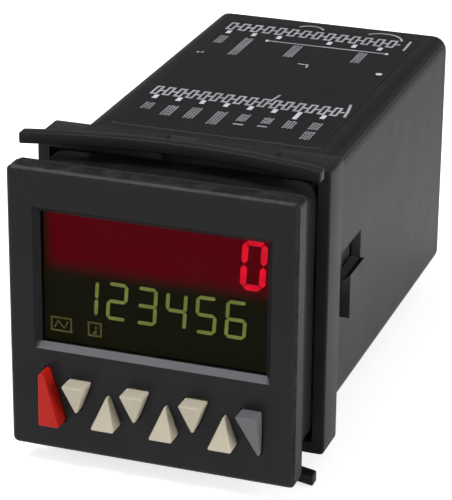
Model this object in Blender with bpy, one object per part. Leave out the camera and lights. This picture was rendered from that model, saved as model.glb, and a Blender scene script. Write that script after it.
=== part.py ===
"""Panel counter: two display rows, eight raised keys, a square housing and a clamp frame.

The counter is modelled on its own axes. The plane Y = 0 is the bezel's front face, X points
right, Y runs back through the panel, and Z is up, with Z = 0 on the counter's middle line.
One empty then carries every piece, and puts the middle of the counter's base at the origin.
"""
import math

import bmesh
import bpy
from mathutils import Matrix, Vector

MM = 0.001

# Fits
FIT_GAP = 0.3 * MM             # between pieces that seat on each other
KEY_CLEARANCE = 0.25 * MM      # round a key in its hole
CUTOUT_PLAY = 0.3 * MM         # housing to the edge of the panel's square hole, each side

# Bezel
BEZEL_SIZE = 48.0 * MM
BEZEL_OVERLAP = 1.5 * MM       # bezel past the edge of that hole, each side
BEZEL_THICKNESS = 3.2 * MM
BEZEL_CORNER = 0.9 * MM
BEZEL_CHAMFER = 0.35 * MM
BEZEL_SKIN = 1.4 * MM          # thickness in front of the key flanges

# Display surround, pane and glass
WINDOW_SIDE_MARGIN = 5.2 * MM  # bezel's side to the window
NAME_STRIP = 7.4 * MM          # bezel's top edge to the window
KEY_FIELD = 18.4 * MM          # bezel's bottom edge to the window
SURROUND_SLOPE = 1.0 * MM      # width of the sloped frame round the window
SURROUND_DEPTH = 1.05 * MM
PANE_LEDGE = 0.25 * MM         # pane reaching past the window, each side
PANE_THICKNESS = 1.0 * MM
GLASS_THICKNESS = 2.0 * MM
ZEBRA_HEIGHT = 2.75 * MM       # glass to board, along Y
ZEBRA_WIDTH = 1.8 * MM
ZEBRA_END = 1.0 * MM           # contact strip's end to the end of the glass
ROW_SPLIT = 0.35               # share of the backlight's height where its groove lies
GROOVE_WIDTH = 0.6 * MM
GROOVE_DEPTH = 1.2 * MM

# Keys. Heights are from the bezel's bottom edge, widths are shares
KEY_ROW_CENTRE_X = 0.2 * MM
KEY_ROW_TOP = 12.85 * MM       # broad edge of the keys that point down
KEY_ROW_BOTTOM = 6.0 * MM      # broad edge of the keys that point up
RED_KEY_BOTTOM = 5.3 * MM
GREY_KEY_TOP = 12.55 * MM
KEY_PITCH_SHARE = 0.131        # of the window's width
CREAM_KEY_SHARE = 0.82         # width of a cream key, of the pitch
SIDE_KEY_SHARE = 0.71          # width of the red and the grey key, of the pitch
SIDE_KEY_INSET = 0.52 * MM     # window's side to the straight side of those two keys
CREAM_KEY_LENGTH = 5.45 * MM
RED_KEY_LENGTH = 12.1 * MM
GREY_KEY_LENGTH = 8.3 * MM
KEY_CORNER = 0.25 * MM
RED_KEY_TIP = 0.5 * MM         # corner radius at the tip of the red key
KEY_EDGE = 0.2 * MM            # rounded front edge
KEY_RAISE = 3.1 * MM           # broad edge of a key, in front of the bezel
KEY_TIP_RAISE_UP = 0.5 * MM    # tip of a cream key that points up
KEY_TIP_RAISE_DOWN = 1.7 * MM  # tip of a cream key that points down
RED_TIP_RAISE = 2.9 * MM
GREY_TIP_RAISE = 0.5 * MM
KEY_TRAVEL = 0.6 * MM
KEY_FLANGE = 0.7 * MM          # flange reaching past the key, behind the bezel's skin
KEY_FLANGE_THICKNESS = 0.8 * MM
MAT_THICKNESS = 0.8 * MM
MAT_PLUNGER_RADIUS = 0.75 * MM

# Housing
HOUSING_LENGTH = 90.0 * MM
HOUSING_CORNER = 2.5 * MM
HOUSING_WALL = 1.6 * MM
HOUSING_EDGE = 0.4 * MM
CATCH_FRONT = 25.5 * MM        # housing's front edge to the catch's steep face
CATCH_FLAT = 8.0 * MM          # length of the catch's outer face
CATCH_RAMP = 3.0 * MM
CATCH_PROUD = 1.6 * MM
CATCH_BOTTOM = -6.8 * MM
CATCH_TOP = 0.9 * MM           # top of the catch's outer face
CATCH_UNDERCUT = 1.4 * MM      # how far the top falls from there to the wall
CATCH_WINDOW_TOP = 4.6 * MM    # top of the opening that frees the catch

# Snap tongues of the bezel and of the rear cover
TONGUE_WIDTH = 12.0 * MM
TONGUE_THICKNESS = 1.0 * MM
TONGUE_LENGTH = 6.3 * MM
TONGUE_BUMP = 0.45 * MM
TONGUE_BUMP_LENGTH = 1.4 * MM
TONGUE_LEAD = 1.0 * MM         # from the tip to the bump

# Gasket and clamp frame
GASKET_THICKNESS = 0.8 * MM
GASKET_INSET = 0.15 * MM       # bezel's edge to the gasket's edge
RING_PLAY = 0.35 * MM
RING_WALL = 2.05 * MM
RING_CORNER = 0.8 * MM
RING_FRONT = 10.5 * MM         # bezel's back to the ring
RING_DEPTH = 6.8 * MM
BOW_OVERHANG = 0.3 * MM        # end of a bow past the ring's side
BOW_HEIGHT = 1.95 * MM
BOW_DEPTH = 2.2 * MM
BOW_END_FRONT = 3.8 * MM       # bezel's back to the ends of the bows
BOW_SAG = 3.7 * MM             # how far the middle of a bow lies behind its ends
BOW_ABOVE_RING = 0.3 * MM
BOW_END_ROUND = 0.5 * MM
BOW_STATIONS = 16
LEG_INNER_SHARE = 0.05         # where a bow's leg starts and ends, as shares of the ring's size
LEG_OUTER_SHARE = 0.323
LEG_SET_BACK = 0.3 * MM        # leg's front behind the front of the bow's middle
LEG_BELOW_RING_TOP = 0.7 * MM

# Wiring label
LABEL_SIDE_MARGIN = 4.3 * MM   # housing's side to the label
LABEL_FRONT = 25.2 * MM        # housing's front edge to the label
LABEL_REAR_MARGIN = 3.5 * MM
LABEL_THICKNESS = 0.2 * MM
LABEL_CORNER = 1.0 * MM

# Boards
BOARD_THICKNESS = 1.2 * MM
BOARD_ROOM = 3.1 * MM          # housing's inner wall to the middle of a long board
RAIL_HEIGHT = 0.6 * MM
RAIL_REACH = 0.9 * MM
HEADER_SHARE = 0.58            # length of a header, of the housing's inner width
HEADER_DEPTH = 2.5 * MM
CHIP_SIZE = 10.0 * MM
CHIP_HEIGHT = 1.4 * MM
CHIP_SHARE = 0.27              # board's front edge to the chip, of the board's length
RELAY_SHARE = 0.37             # width of a relay, of the housing's inner width
RELAY_LENGTH = 19.4 * MM
RELAY_HEIGHT = 15.4 * MM
RELAY_SPACING_SHARE = 0.44
RELAY_CLEARANCE = 2.6 * MM     # relay to the terminal socket behind it
TRANSFORMER_SHARE = 0.39       # width of the transformer, of the housing's inner width
TRANSFORMER_LENGTH = 17.0 * MM
TRANSFORMER_HEIGHT = 13.0 * MM
TRANSFORMER_WINDOW = 3.0 * MM
TRANSFORMER_X_SHARE = -0.22
CAPACITOR_RADIUS = 5.0 * MM
CAPACITOR_LENGTH = 18.0 * MM
CAPACITOR_X_SHARE = 0.24
POWER_PARTS_SHARE = 0.63       # how far back they stand, of the room in front of the relays

# Rear cover and terminals
COVER_THICKNESS = 2.0 * MM
PLUG_PROUD = 5.0 * MM          # plug behind the housing's rear edge
SIGNAL_POLES = 8
SIGNAL_ROW_SHARE = 0.74        # width of the row of poles, of the housing's inner width
SIGNAL_HEIGHT = 8.0 * MM
SIGNAL_SCREW_RADIUS = 1.1 * MM
POWER_POLES = 7
POWER_ROW_SHARE = 0.85
POWER_HEIGHT = 10.0 * MM
POWER_SCREW_RADIUS = 1.5 * MM
SOCKET_WALL = 0.9 * MM
SOCKET_LENGTH = 10.0 * MM
SOCKET_FLOOR = 1.6 * MM
WIRE_ENTRY_SHARE = 0.62        # square wire entry, as a share of the pitch
WIRE_ENTRY_DEPTH = 7.0 * MM
SCREW_LENGTH = 5.0 * MM
SCREW_SUNK = 0.8 * MM          # screw head below the plug's rear face
SCREW_SLOT_WIDTH = 0.5 * MM
SCREW_SLOT_DEPTH = 0.7 * MM

ARC_STEPS = 5                  # faces on a rounded housing corner
SMALL_ARC_STEPS = 3            # faces on a small rounded corner
ROUND_SIDES = 16
CREASE_ANGLE = math.radians(35)

# Values worked out from the sizes above
PANEL_CUTOUT = BEZEL_SIZE - 2 * BEZEL_OVERLAP
HOUSING_SIZE = PANEL_CUTOUT - 2 * CUTOUT_PLAY
HOUSING_INNER = HOUSING_SIZE - 2 * HOUSING_WALL
HOUSING_FRONT = BEZEL_THICKNESS + FIT_GAP
HOUSING_REAR = HOUSING_FRONT + HOUSING_LENGTH
WINDOW_WIDTH = BEZEL_SIZE - 2 * WINDOW_SIDE_MARGIN
WINDOW_HEIGHT = BEZEL_SIZE - NAME_STRIP - KEY_FIELD
WINDOW_CENTRE_Z = (KEY_FIELD - NAME_STRIP) / 2
BEZEL_BOTTOM = -BEZEL_SIZE / 2
KEY_PITCH = KEY_PITCH_SHARE * WINDOW_WIDTH
CREAM_KEY_WIDTH = CREAM_KEY_SHARE * KEY_PITCH
SIDE_KEY_WIDTH = SIDE_KEY_SHARE * KEY_PITCH
SIDE_KEY_X = WINDOW_WIDTH / 2 - SIDE_KEY_INSET
PANE_FRONT = SURROUND_DEPTH + FIT_GAP
GLASS_FRONT = PANE_FRONT + PANE_THICKNESS + FIT_GAP
GLASS_REAR = GLASS_FRONT + GLASS_THICKNESS
ZEBRA_FRONT = GLASS_REAR + FIT_GAP
BOARD_FRONT = ZEBRA_FRONT + ZEBRA_HEIGHT + FIT_GAP
LONG_BOARD_FRONT = BOARD_FRONT + BOARD_THICKNESS + FIT_GAP
PANE_WIDTH = WINDOW_WIDTH + 2 * PANE_LEDGE
PANE_HEIGHT = WINDOW_HEIGHT + 2 * PANE_LEDGE
TONGUE_OUTER = HOUSING_INNER / 2 - FIT_GAP
TONGUE_INNER = TONGUE_OUTER - TONGUE_THICKNESS
DISPLAY_BOARD_SIZE = 2 * (TONGUE_INNER - FIT_GAP)
GLASS_WIDTH = DISPLAY_BOARD_SIZE
ZEBRA_LENGTH = GLASS_WIDTH - 2 * ZEBRA_END
RING_SIZE = HOUSING_SIZE + 2 * (RING_PLAY + RING_WALL)
RING_FRONT_Y = BEZEL_THICKNESS + RING_FRONT
BOW_LENGTH = RING_SIZE + 2 * BOW_OVERHANG
BOW_LEG_INNER = LEG_INNER_SHARE * RING_SIZE
BOW_LEG_OUTER = LEG_OUTER_SHARE * RING_SIZE
BOW_LEG_FRONT = BEZEL_THICKNESS + BOW_END_FRONT + BOW_SAG + LEG_SET_BACK
BOW_TOP = RING_SIZE / 2 + BOW_ABOVE_RING + BOW_HEIGHT
COVER_FRONT = HOUSING_REAR - COVER_THICKNESS
LONG_BOARD_REAR = COVER_FRONT - FIT_GAP
PLUG_REAR = HOUSING_REAR + PLUG_PROUD
SOCKET_FRONT = LONG_BOARD_REAR - SOCKET_LENGTH
PLUG_FRONT = SOCKET_FRONT + SOCKET_FLOOR + FIT_GAP
KEY_FLANGE_FRONT = BEZEL_SKIN + FIT_GAP
LABEL_WIDTH = HOUSING_SIZE - 2 * LABEL_SIDE_MARGIN
BOARD_OFFSET = HOUSING_INNER / 2 - BOARD_ROOM
SIGNAL_PITCH = SIGNAL_ROW_SHARE * HOUSING_INNER / SIGNAL_POLES
POWER_PITCH = POWER_ROW_SHARE * HOUSING_INNER / POWER_POLES
BOARD_FACE = BOARD_OFFSET - BOARD_THICKNESS / 2
SIGNAL_CENTRE_Z = BOARD_FACE - FIT_GAP - SOCKET_WALL - FIT_GAP - SIGNAL_HEIGHT / 2
POWER_CENTRE_Z = -(BOARD_FACE - FIT_GAP - SOCKET_WALL - FIT_GAP - POWER_HEIGHT / 2)

# Colour, roughness and metallic value of each finish
FINISHES = {
    "bezel_plastic": ((0.032, 0.032, 0.034), 0.45, 0.0),
    "housing_plastic": ((0.028, 0.027, 0.028), 0.5, 0.0),
    "pane": ((0.05, 0.004, 0.008), 0.1, 0.0),
    "display_glass": ((0.012, 0.012, 0.010), 0.15, 0.0),
    "red_key": ((0.58, 0.02, 0.015), 0.45, 0.0),
    "cream_key": ((0.62, 0.56, 0.44), 0.5, 0.0),
    "grey_key": ((0.14, 0.14, 0.145), 0.45, 0.0),
    "rubber": ((0.02, 0.02, 0.02), 0.8, 0.0),
    "silicone": ((0.35, 0.36, 0.36), 0.7, 0.0),
    "light_guide": ((0.7, 0.7, 0.68), 0.4, 0.0),
    "circuit_board": ((0.02, 0.12, 0.05), 0.5, 0.0),
    "component": ((0.02, 0.02, 0.022), 0.5, 0.0),
    "relay": ((0.75, 0.4, 0.06), 0.5, 0.0),
    "ferrite": ((0.05, 0.05, 0.055), 0.6, 0.0),
    "aluminium": ((0.6, 0.6, 0.62), 0.35, 1.0),
    "label": ((0.012, 0.012, 0.014), 0.35, 0.0),
    "terminal": ((0.03, 0.16, 0.06), 0.5, 0.0),
    "steel": ((0.5, 0.5, 0.5), 0.35, 1.0),
}


def remove_everything():
    """Clear the objects that the scene starts with."""
    for item in list(bpy.data.objects):
        bpy.data.objects.remove(item)


def finish_material(name, finish):
    """A Principled material for one piece, from the table of finishes."""
    colour, roughness, metallic = FINISHES[finish]
    material = bpy.data.materials.new(name)
    material.use_nodes = True
    shader = material.node_tree.nodes["Principled BSDF"]
    shader.inputs["Base Color"].default_value = (*colour, 1.0)
    shader.inputs["Roughness"].default_value = roughness
    shader.inputs["Metallic"].default_value = metallic
    return material


def add_piece(name, mesh, finish, location=(0.0, 0.0, 0.0)):
    """Put a mesh into the scene as a named piece, shaded smooth up to the crease angle."""
    mesh.shade_smooth()
    mesh.set_sharp_from_angle(angle=CREASE_ANGLE)
    piece = bpy.data.objects.new(name, mesh)
    bpy.context.collection.objects.link(piece)
    if not mesh.materials:
        mesh.materials.append(finish_material(name, finish))
    piece.location = location
    return piece


def mesh_from(shape, name="solid"):
    """Turn a bmesh into a mesh whose faces point outwards."""
    bmesh.ops.recalc_face_normals(shape, faces=shape.faces)
    mesh = bpy.data.meshes.new(name)
    shape.to_mesh(mesh)
    shape.free()
    return mesh


def loft(sections):
    """A closed solid through a list of point rings with the same number of points."""
    shape = bmesh.new()
    rings = [[shape.verts.new(point) for point in section] for section in sections]
    for ring, following in zip(rings, rings[1:]):
        for index, corner in enumerate(ring):
            after = (index + 1) % len(ring)
            shape.faces.new((corner, ring[after], following[after], following[index]))
    shape.faces.new(rings[0])
    shape.faces.new(rings[-1])
    return mesh_from(shape)


def prism(outline, axis, low, high):
    """A flat outline pushed along an axis. Its two numbers fill the other two axes in order."""
    position = "XYZ".index(axis)

    def at(height):
        points = []
        for pair in outline:
            point = list(pair)
            point.insert(position, height)
            points.append(point)
        return points

    return loft([at(low), at(high)])


def box(x_range, y_range, z_range):
    """A rectangular block between the given ends."""
    (left, right), (bottom, top) = x_range, z_range
    return prism([(left, bottom), (right, bottom), (right, top), (left, top)], "Y", *y_range)


def block(width, height, centre_x, centre_z, y_range):
    """A rectangular block given by its size and middle in X and Z."""
    across = (centre_x - width / 2, centre_x + width / 2)
    upright = (centre_z - height / 2, centre_z + height / 2)
    return box(across, y_range, upright)


def rectangle(width, height, centre_x=0.0, centre_z=0.0):
    """Corners of a rectangle in X and Z, anticlockwise."""
    right, top = width / 2, height / 2
    signs = ((-1, -1), (1, -1), (1, 1), (-1, 1))
    return [(centre_x + sx * right, centre_z + sz * top) for sx, sz in signs]


def offset_corners(corners, distance):
    """Corners of the same shape with every side moved inwards by a distance."""
    count = len(corners)
    moved = []
    for index in range(count):
        before = Vector(corners[index - 1])
        here = Vector(corners[index])
        after = Vector(corners[(index + 1) % count])
        arriving = (here - before).normalized()
        leaving = (after - here).normalized()
        inward_a = Vector((-arriving.y, arriving.x))
        inward_b = Vector((-leaving.y, leaving.x))
        bisector = (inward_a + inward_b) / (1.0 + inward_a.dot(inward_b))
        moved.append(tuple(here + bisector * distance))
    return moved


def rounded(corners, radius, steps=SMALL_ARC_STEPS, last_radius=None):
    """Outline of a convex shape, given anticlockwise, with an arc at each corner."""
    outline = []
    count = len(corners)
    for index in range(count):
        if index == count - 1 and last_radius:
            radius = last_radius
        before = Vector(corners[index - 1])
        here = Vector(corners[index])
        after = Vector(corners[(index + 1) % count])
        to_before = (before - here).normalized()
        to_after = (after - here).normalized()
        half_angle = to_before.angle(to_after) / 2
        centre = here + (to_before + to_after).normalized() * radius / math.sin(half_angle)
        start = here + to_before * radius / math.tan(half_angle) - centre
        sweep = math.pi - 2 * half_angle
        for step in range(steps + 1):
            turn = Matrix.Rotation(sweep * step / steps, 2)
            outline.append(tuple(centre + turn @ start))
    return outline


def circle(radius, centre_x, centre_z, sides=ROUND_SIDES):
    """Outline of a circle in X and Z."""
    turns = [2 * math.pi * index / sides for index in range(sides)]
    return [(centre_x + radius * math.cos(t), centre_z + radius * math.sin(t)) for t in turns]


def at_depth(outline, depth):
    """Lift an outline in X and Z to a ring of points at one depth."""
    return [(x, depth, z) for x, z in outline]


def joined(meshes):
    """One mesh from several closed solids that don't touch each other."""
    shape = bmesh.new()
    for mesh in meshes:
        shape.from_mesh(mesh)
        bpy.data.meshes.remove(mesh)
    return mesh_from(shape)


def turned_copies(mesh, count=4):
    """Copies of a solid turned in equal steps about the Y axis."""
    copies = []
    for index in range(count):
        copy = mesh.copy()
        copy.transform(Matrix.Rotation(2 * math.pi * index / count, 4, "Y"))
        copies.append(copy)
    bpy.data.meshes.remove(mesh)
    return joined(copies)


def mirrored_pair(mesh):
    """A solid and its mirror image across X = 0."""
    twin = mesh.copy()
    twin.transform(Matrix.Scale(-1.0, 4, Vector((1.0, 0.0, 0.0))))
    return joined([mesh, twin])


def combine(body, tool, operation):
    """Mesh of a solid united with a tool solid, or with the tool cut away."""
    piece = bpy.data.objects.new("body", body)
    cutter = bpy.data.objects.new("cutter", tool)
    for item in (piece, cutter):
        bpy.context.collection.objects.link(item)
    modifier = piece.modifiers.new("combine", "BOOLEAN")
    modifier.operation = operation
    modifier.solver = "EXACT"
    modifier.object = cutter
    graph = bpy.context.evaluated_depsgraph_get()
    result = bpy.data.meshes.new_from_object(piece.evaluated_get(graph))
    result.materials.clear()
    for item in (piece, cutter):
        bpy.data.objects.remove(item)
    return result


def cut(body, tool):
    return combine(body, tool, "DIFFERENCE")


def unite(body, tool):
    return combine(body, tool, "UNION")


def snap_tongues(root, direction):
    """Four tongues round a square, each with a bump that snaps into the housing's wall.

    The profile runs in Y and Z: from the root to a tip with a lead-in, then back over the
    bump. direction is 1 for tongues that point back and -1 for tongues that point forward.
    """
    tip = root + direction * TONGUE_LENGTH
    bump_tip = tip - direction * TONGUE_LEAD
    bump_root = bump_tip - direction * TONGUE_BUMP_LENGTH
    anchored = root - direction * FIT_GAP
    profile = [
        (anchored, TONGUE_INNER),
        (tip, TONGUE_INNER),
        (tip, TONGUE_OUTER - TONGUE_BUMP),
        (bump_tip, TONGUE_OUTER),
        (bump_tip, TONGUE_OUTER + TONGUE_BUMP / 2),
        (bump_tip - direction * TONGUE_BUMP, TONGUE_OUTER + TONGUE_BUMP),
        (bump_root, TONGUE_OUTER + TONGUE_BUMP),
        (bump_root, TONGUE_OUTER),
        (anchored, TONGUE_OUTER),
    ]
    return turned_copies(prism(profile, "X", -TONGUE_WIDTH / 2, TONGUE_WIDTH / 2))


def snap_pockets(root, direction):
    """Four pockets in the housing's inner wall that take the bumps of the tongues."""
    tip = root + direction * (TONGUE_LENGTH - TONGUE_LEAD)
    ends = sorted((tip + direction * FIT_GAP, tip - direction * (TONGUE_BUMP_LENGTH + FIT_GAP)))
    half_width = TONGUE_WIDTH / 2 + FIT_GAP
    inner = HOUSING_INNER / 2 - FIT_GAP
    outer = TONGUE_OUTER + TONGUE_BUMP + FIT_GAP
    return turned_copies(box((-half_width, half_width), ends, (inner, outer)))


def key_corners(straight_x, width, broad_z, length, tip_share):
    """Triangle of a key: two ends of its broad edge and its tip, anticlockwise.

    The broad edge runs from straight_x over the signed width. The tip lies over the broad
    edge at a share of the width, and a negative length points down.
    """
    return [
        (straight_x, broad_z),
        (straight_x + width, broad_z),
        (straight_x + tip_share * width, broad_z + length),
    ]


def key_table():
    """Name, corners, tip radius, raise at the broad edge and at the tip, and finish of each key."""
    keys = []
    side, width = SIDE_KEY_X, SIDE_KEY_WIDTH
    centre = KEY_ROW_CENTRE_X
    red = key_corners(centre - side, width, BEZEL_BOTTOM + RED_KEY_BOTTOM, RED_KEY_LENGTH, 0.0)
    keys.append(("key_red", red, RED_KEY_TIP, KEY_RAISE, RED_TIP_RAISE, "red_key"))
    for index in range(6):
        direction = 1 if index % 2 == 1 else -1
        broad = KEY_ROW_BOTTOM if direction == 1 else KEY_ROW_TOP
        tip_raise = KEY_TIP_RAISE_UP if direction == 1 else KEY_TIP_RAISE_DOWN
        across = direction * CREAM_KEY_WIDTH
        start = centre + KEY_PITCH * (index - 2.5) - across / 2
        corners = key_corners(start, across, BEZEL_BOTTOM + broad, direction * CREAM_KEY_LENGTH, 0.5)
        keys.append((f"key_cream_{index + 1}", corners, KEY_CORNER, KEY_RAISE, tip_raise, "cream_key"))
    grey = key_corners(centre + side, -width, BEZEL_BOTTOM + GREY_KEY_TOP, -GREY_KEY_LENGTH, 0.0)
    keys.append(("key_grey", grey, KEY_CORNER, KEY_RAISE, GREY_TIP_RAISE, "grey_key"))
    return keys


def key_outline(corners, tip_radius, growth):
    """Rounded outline of a key, or the parallel outline at a distance outside it."""
    grown = offset_corners(corners, -growth)
    return rounded(grown, KEY_CORNER + growth, last_radius=tip_radius + growth)


def middle_of(corners):
    """Centroid of a triangle in X and Z."""
    return (sum(x for x, _ in corners) / 3, sum(z for _, z in corners) / 3)


def make_key(name, corners, tip_radius, broad_raise, tip_raise, finish):
    """A key: flange behind the bezel, stem through its hole, and a sloping cap.

    The cap's front is a plane that falls from the broad edge to the tip. The key's origin
    lies on the bezel's front face at the middle of the triangle, on the key's slide axis.
    """
    origin_x, origin_z = middle_of(corners)
    broad_z, tip_z = corners[0][1], corners[2][1]

    def ring(growth, depth_of):
        outline = key_outline(corners, tip_radius, growth)
        return [(x - origin_x, depth_of(z), z - origin_z) for x, z in outline]

    def front(z):
        share = (z - broad_z) / (tip_z - broad_z)
        return -(broad_raise + (tip_raise - broad_raise) * share)

    flange_back = KEY_FLANGE_FRONT + KEY_FLANGE_THICKNESS
    sections = [
        ring(KEY_FLANGE, lambda z: flange_back),
        ring(KEY_FLANGE, lambda z: KEY_FLANGE_FRONT),
        ring(0.0, lambda z: KEY_FLANGE_FRONT),
        ring(0.0, lambda z: front(z) + KEY_EDGE),
        ring(-KEY_EDGE * 0.3, lambda z: front(z) + KEY_EDGE * 0.3),
        ring(-KEY_EDGE, front),
    ]
    return add_piece(name, loft(sections), finish, (origin_x, 0.0, origin_z))


def make_bezel():
    """Front plate with its sloped window surround, pockets, key holes and snap tongues."""
    square = rectangle(BEZEL_SIZE, BEZEL_SIZE)
    corner = BEZEL_CORNER
    face = rounded(offset_corners(square, BEZEL_CHAMFER), corner - BEZEL_CHAMFER)
    side = rounded(square, corner)
    sections = [at_depth(face, 0.0), at_depth(side, BEZEL_CHAMFER), at_depth(side, BEZEL_THICKNESS)]
    body = loft(sections)

    window = rectangle(WINDOW_WIDTH, WINDOW_HEIGHT, 0.0, WINDOW_CENTRE_Z)
    mouth = offset_corners(window, -2 * SURROUND_SLOPE)
    behind = SURROUND_DEPTH + PANE_THICKNESS
    slope = [
        at_depth(mouth, -SURROUND_DEPTH),
        at_depth(window, SURROUND_DEPTH),
        at_depth(window, behind),
    ]
    body = cut(body, loft(slope))

    past_back = BEZEL_THICKNESS + FIT_GAP
    pane_room = (SURROUND_DEPTH, past_back)
    gap = 2 * FIT_GAP
    body = cut(body, block(PANE_WIDTH + gap, PANE_HEIGHT + gap, 0.0, WINDOW_CENTRE_Z, pane_room))

    rooms = []
    for _, corners, tip_radius, _, _, _ in key_table():
        stem_room = key_outline(corners, tip_radius, KEY_CLEARANCE)
        flange_room = key_outline(corners, tip_radius, KEY_FLANGE + FIT_GAP)
        rooms.append(loft([
            at_depth(stem_room, -FIT_GAP),
            at_depth(stem_room, BEZEL_SKIN),
            at_depth(flange_room, BEZEL_SKIN),
            at_depth(flange_room, past_back),
        ]))
    body = cut(body, joined(rooms))
    body = unite(body, snap_tongues(BEZEL_THICKNESS, 1))
    return add_piece("front_bezel", body, "bezel_plastic")


def make_display():
    """Pane, display glass, backlight guide and the two contact strips."""
    centre = WINDOW_CENTRE_Z
    pane = block(PANE_WIDTH, PANE_HEIGHT, 0.0, centre, (PANE_FRONT, PANE_FRONT + PANE_THICKNESS))
    glass = block(GLASS_WIDTH, PANE_HEIGHT, 0.0, centre, (GLASS_FRONT, GLASS_REAR))
    pieces = [
        add_piece("display_window", pane, "pane"),
        add_piece("display_glass", glass, "display_glass"),
    ]

    depth = (ZEBRA_FRONT, ZEBRA_FRONT + ZEBRA_HEIGHT)
    strip_offset = PANE_HEIGHT / 2 - ZEBRA_WIDTH
    for name, side in (("contact_strip_upper", 1), ("contact_strip_lower", -1)):
        strip = block(ZEBRA_LENGTH, ZEBRA_WIDTH, 0.0, centre + side * strip_offset, depth)
        pieces.append(add_piece(name, strip, "silicone"))

    height = 2 * (strip_offset - ZEBRA_WIDTH / 2 - FIT_GAP)
    guide = block(ZEBRA_LENGTH, height, 0.0, centre, depth)
    split = centre - height / 2 + height * ROW_SPLIT
    floor = ZEBRA_FRONT + GROOVE_DEPTH
    groove = block(ZEBRA_LENGTH + FIT_GAP, GROOVE_WIDTH, 0.0, split, (ZEBRA_FRONT - FIT_GAP, floor))
    pieces.append(add_piece("backlight_guide", cut(guide, groove), "light_guide"))
    return pieces


def make_keypad_mat():
    """Silicone mat on the display board, with one plunger behind each key."""
    low = -DISPLAY_BOARD_SIZE / 2
    high = WINDOW_CENTRE_Z - PANE_HEIGHT / 2 - FIT_GAP - ZEBRA_WIDTH
    back = BOARD_FRONT - FIT_GAP
    front = back - MAT_THICKNESS
    half = DISPLAY_BOARD_SIZE / 2
    mat = box((-half, half), (front, back), (low, high))
    tip = KEY_FLANGE_FRONT + KEY_FLANGE_THICKNESS + KEY_TRAVEL + FIT_GAP
    plungers = []
    for _, corners, _, _, _, _ in key_table():
        x, z = middle_of(corners)
        foot = circle(MAT_PLUNGER_RADIUS * 1.3, x, z)
        head = circle(MAT_PLUNGER_RADIUS, x, z)
        plungers.append(loft([at_depth(foot, back - MAT_THICKNESS / 2), at_depth(head, tip)]))
    return add_piece("keypad_mat", unite(mat, joined(plungers)), "silicone")


def make_housing():
    """Square tube with board rails, snap pockets, a label recess and two side catches."""
    square = rectangle(HOUSING_SIZE, HOUSING_SIZE)
    edge = rounded(offset_corners(square, HOUSING_EDGE), HOUSING_CORNER - HOUSING_EDGE, ARC_STEPS)
    wall = rounded(square, HOUSING_CORNER, ARC_STEPS)
    body = loft([
        at_depth(wall, HOUSING_FRONT),
        at_depth(wall, HOUSING_REAR - HOUSING_EDGE),
        at_depth(edge, HOUSING_REAR),
    ])
    room = rectangle(HOUSING_INNER, HOUSING_INNER)
    inner = rounded(room, HOUSING_CORNER - HOUSING_WALL)
    body = cut(body, prism(inner, "Y", HOUSING_FRONT - FIT_GAP, HOUSING_REAR + FIT_GAP))
    body = cut(body, snap_pockets(BEZEL_THICKNESS, 1))
    body = cut(body, snap_pockets(COVER_FRONT, -1))

    spread = 2 * FIT_GAP
    label_room = rectangle(LABEL_WIDTH + spread, label_length() + spread, 0.0, label_middle())
    floor = HOUSING_SIZE / 2 - LABEL_THICKNESS - FIT_GAP
    label_room = rounded(label_room, LABEL_CORNER + FIT_GAP)
    recess = prism(label_room, "Z", floor, HOUSING_SIZE / 2 + FIT_GAP)
    body = cut(body, recess)
    body = unite(body, board_rails())
    body = cut(body, catch_window())
    body = unite(body, mirrored_pair(side_catch()))
    return add_piece("housing_shell", body, "housing_plastic")


def board_rails():
    """Four rails along the side walls that carry the signal board and the power board."""
    top = BOARD_FACE - FIT_GAP
    wall = HOUSING_INNER / 2
    ends = (LONG_BOARD_FRONT, LONG_BOARD_REAR - SOCKET_LENGTH)
    rails = []
    across = (wall - RAIL_REACH, wall + HOUSING_WALL / 2)
    for side in (-1, 1):
        x_range = sorted((side * across[0], side * across[1]))
        rails.append(box(x_range, ends, (top - RAIL_HEIGHT, top)))
        rails.append(box(x_range, ends, (-top, RAIL_HEIGHT - top)))
    return joined(rails)


def side_catch():
    """Catch on the right wall: steep front, flat outer face, undercut top and a rear ramp."""
    wall = HOUSING_SIZE / 2
    inside = wall - HOUSING_WALL / 2
    outer = wall + CATCH_PROUD
    low_top = CATCH_TOP - CATCH_UNDERCUT
    front = HOUSING_FRONT + CATCH_FRONT
    flat_end = front + CATCH_FLAT
    ramp_end = flat_end + CATCH_RAMP

    def upright(x, top, rear):
        return [(x, front, CATCH_BOTTOM), (x, rear, CATCH_BOTTOM), (x, rear, top), (x, front, top)]

    return loft([
        upright(inside, low_top, ramp_end),
        upright(wall, low_top, ramp_end),
        upright(outer, CATCH_TOP, flat_end),
    ])


def catch_window():
    """Opening through both side walls, right above the catches, that lets them give way."""
    front = HOUSING_FRONT + CATCH_FRONT
    ends = (front, front + CATCH_FLAT + CATCH_RAMP)
    reach = HOUSING_SIZE / 2 + FIT_GAP
    return box((-reach, reach), ends, (CATCH_TOP - CATCH_UNDERCUT, CATCH_WINDOW_TOP))


def label_length():
    return HOUSING_LENGTH - LABEL_FRONT - LABEL_REAR_MARGIN


def label_middle():
    return HOUSING_FRONT + LABEL_FRONT + label_length() / 2


def make_label():
    """Wiring label that lies in its recess, level with the housing's top."""
    outline = rounded(rectangle(LABEL_WIDTH, label_length(), 0.0, label_middle()), LABEL_CORNER)
    top = HOUSING_SIZE / 2
    return add_piece("wiring_label", prism(outline, "Z", top - LABEL_THICKNESS, top), "label")


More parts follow.
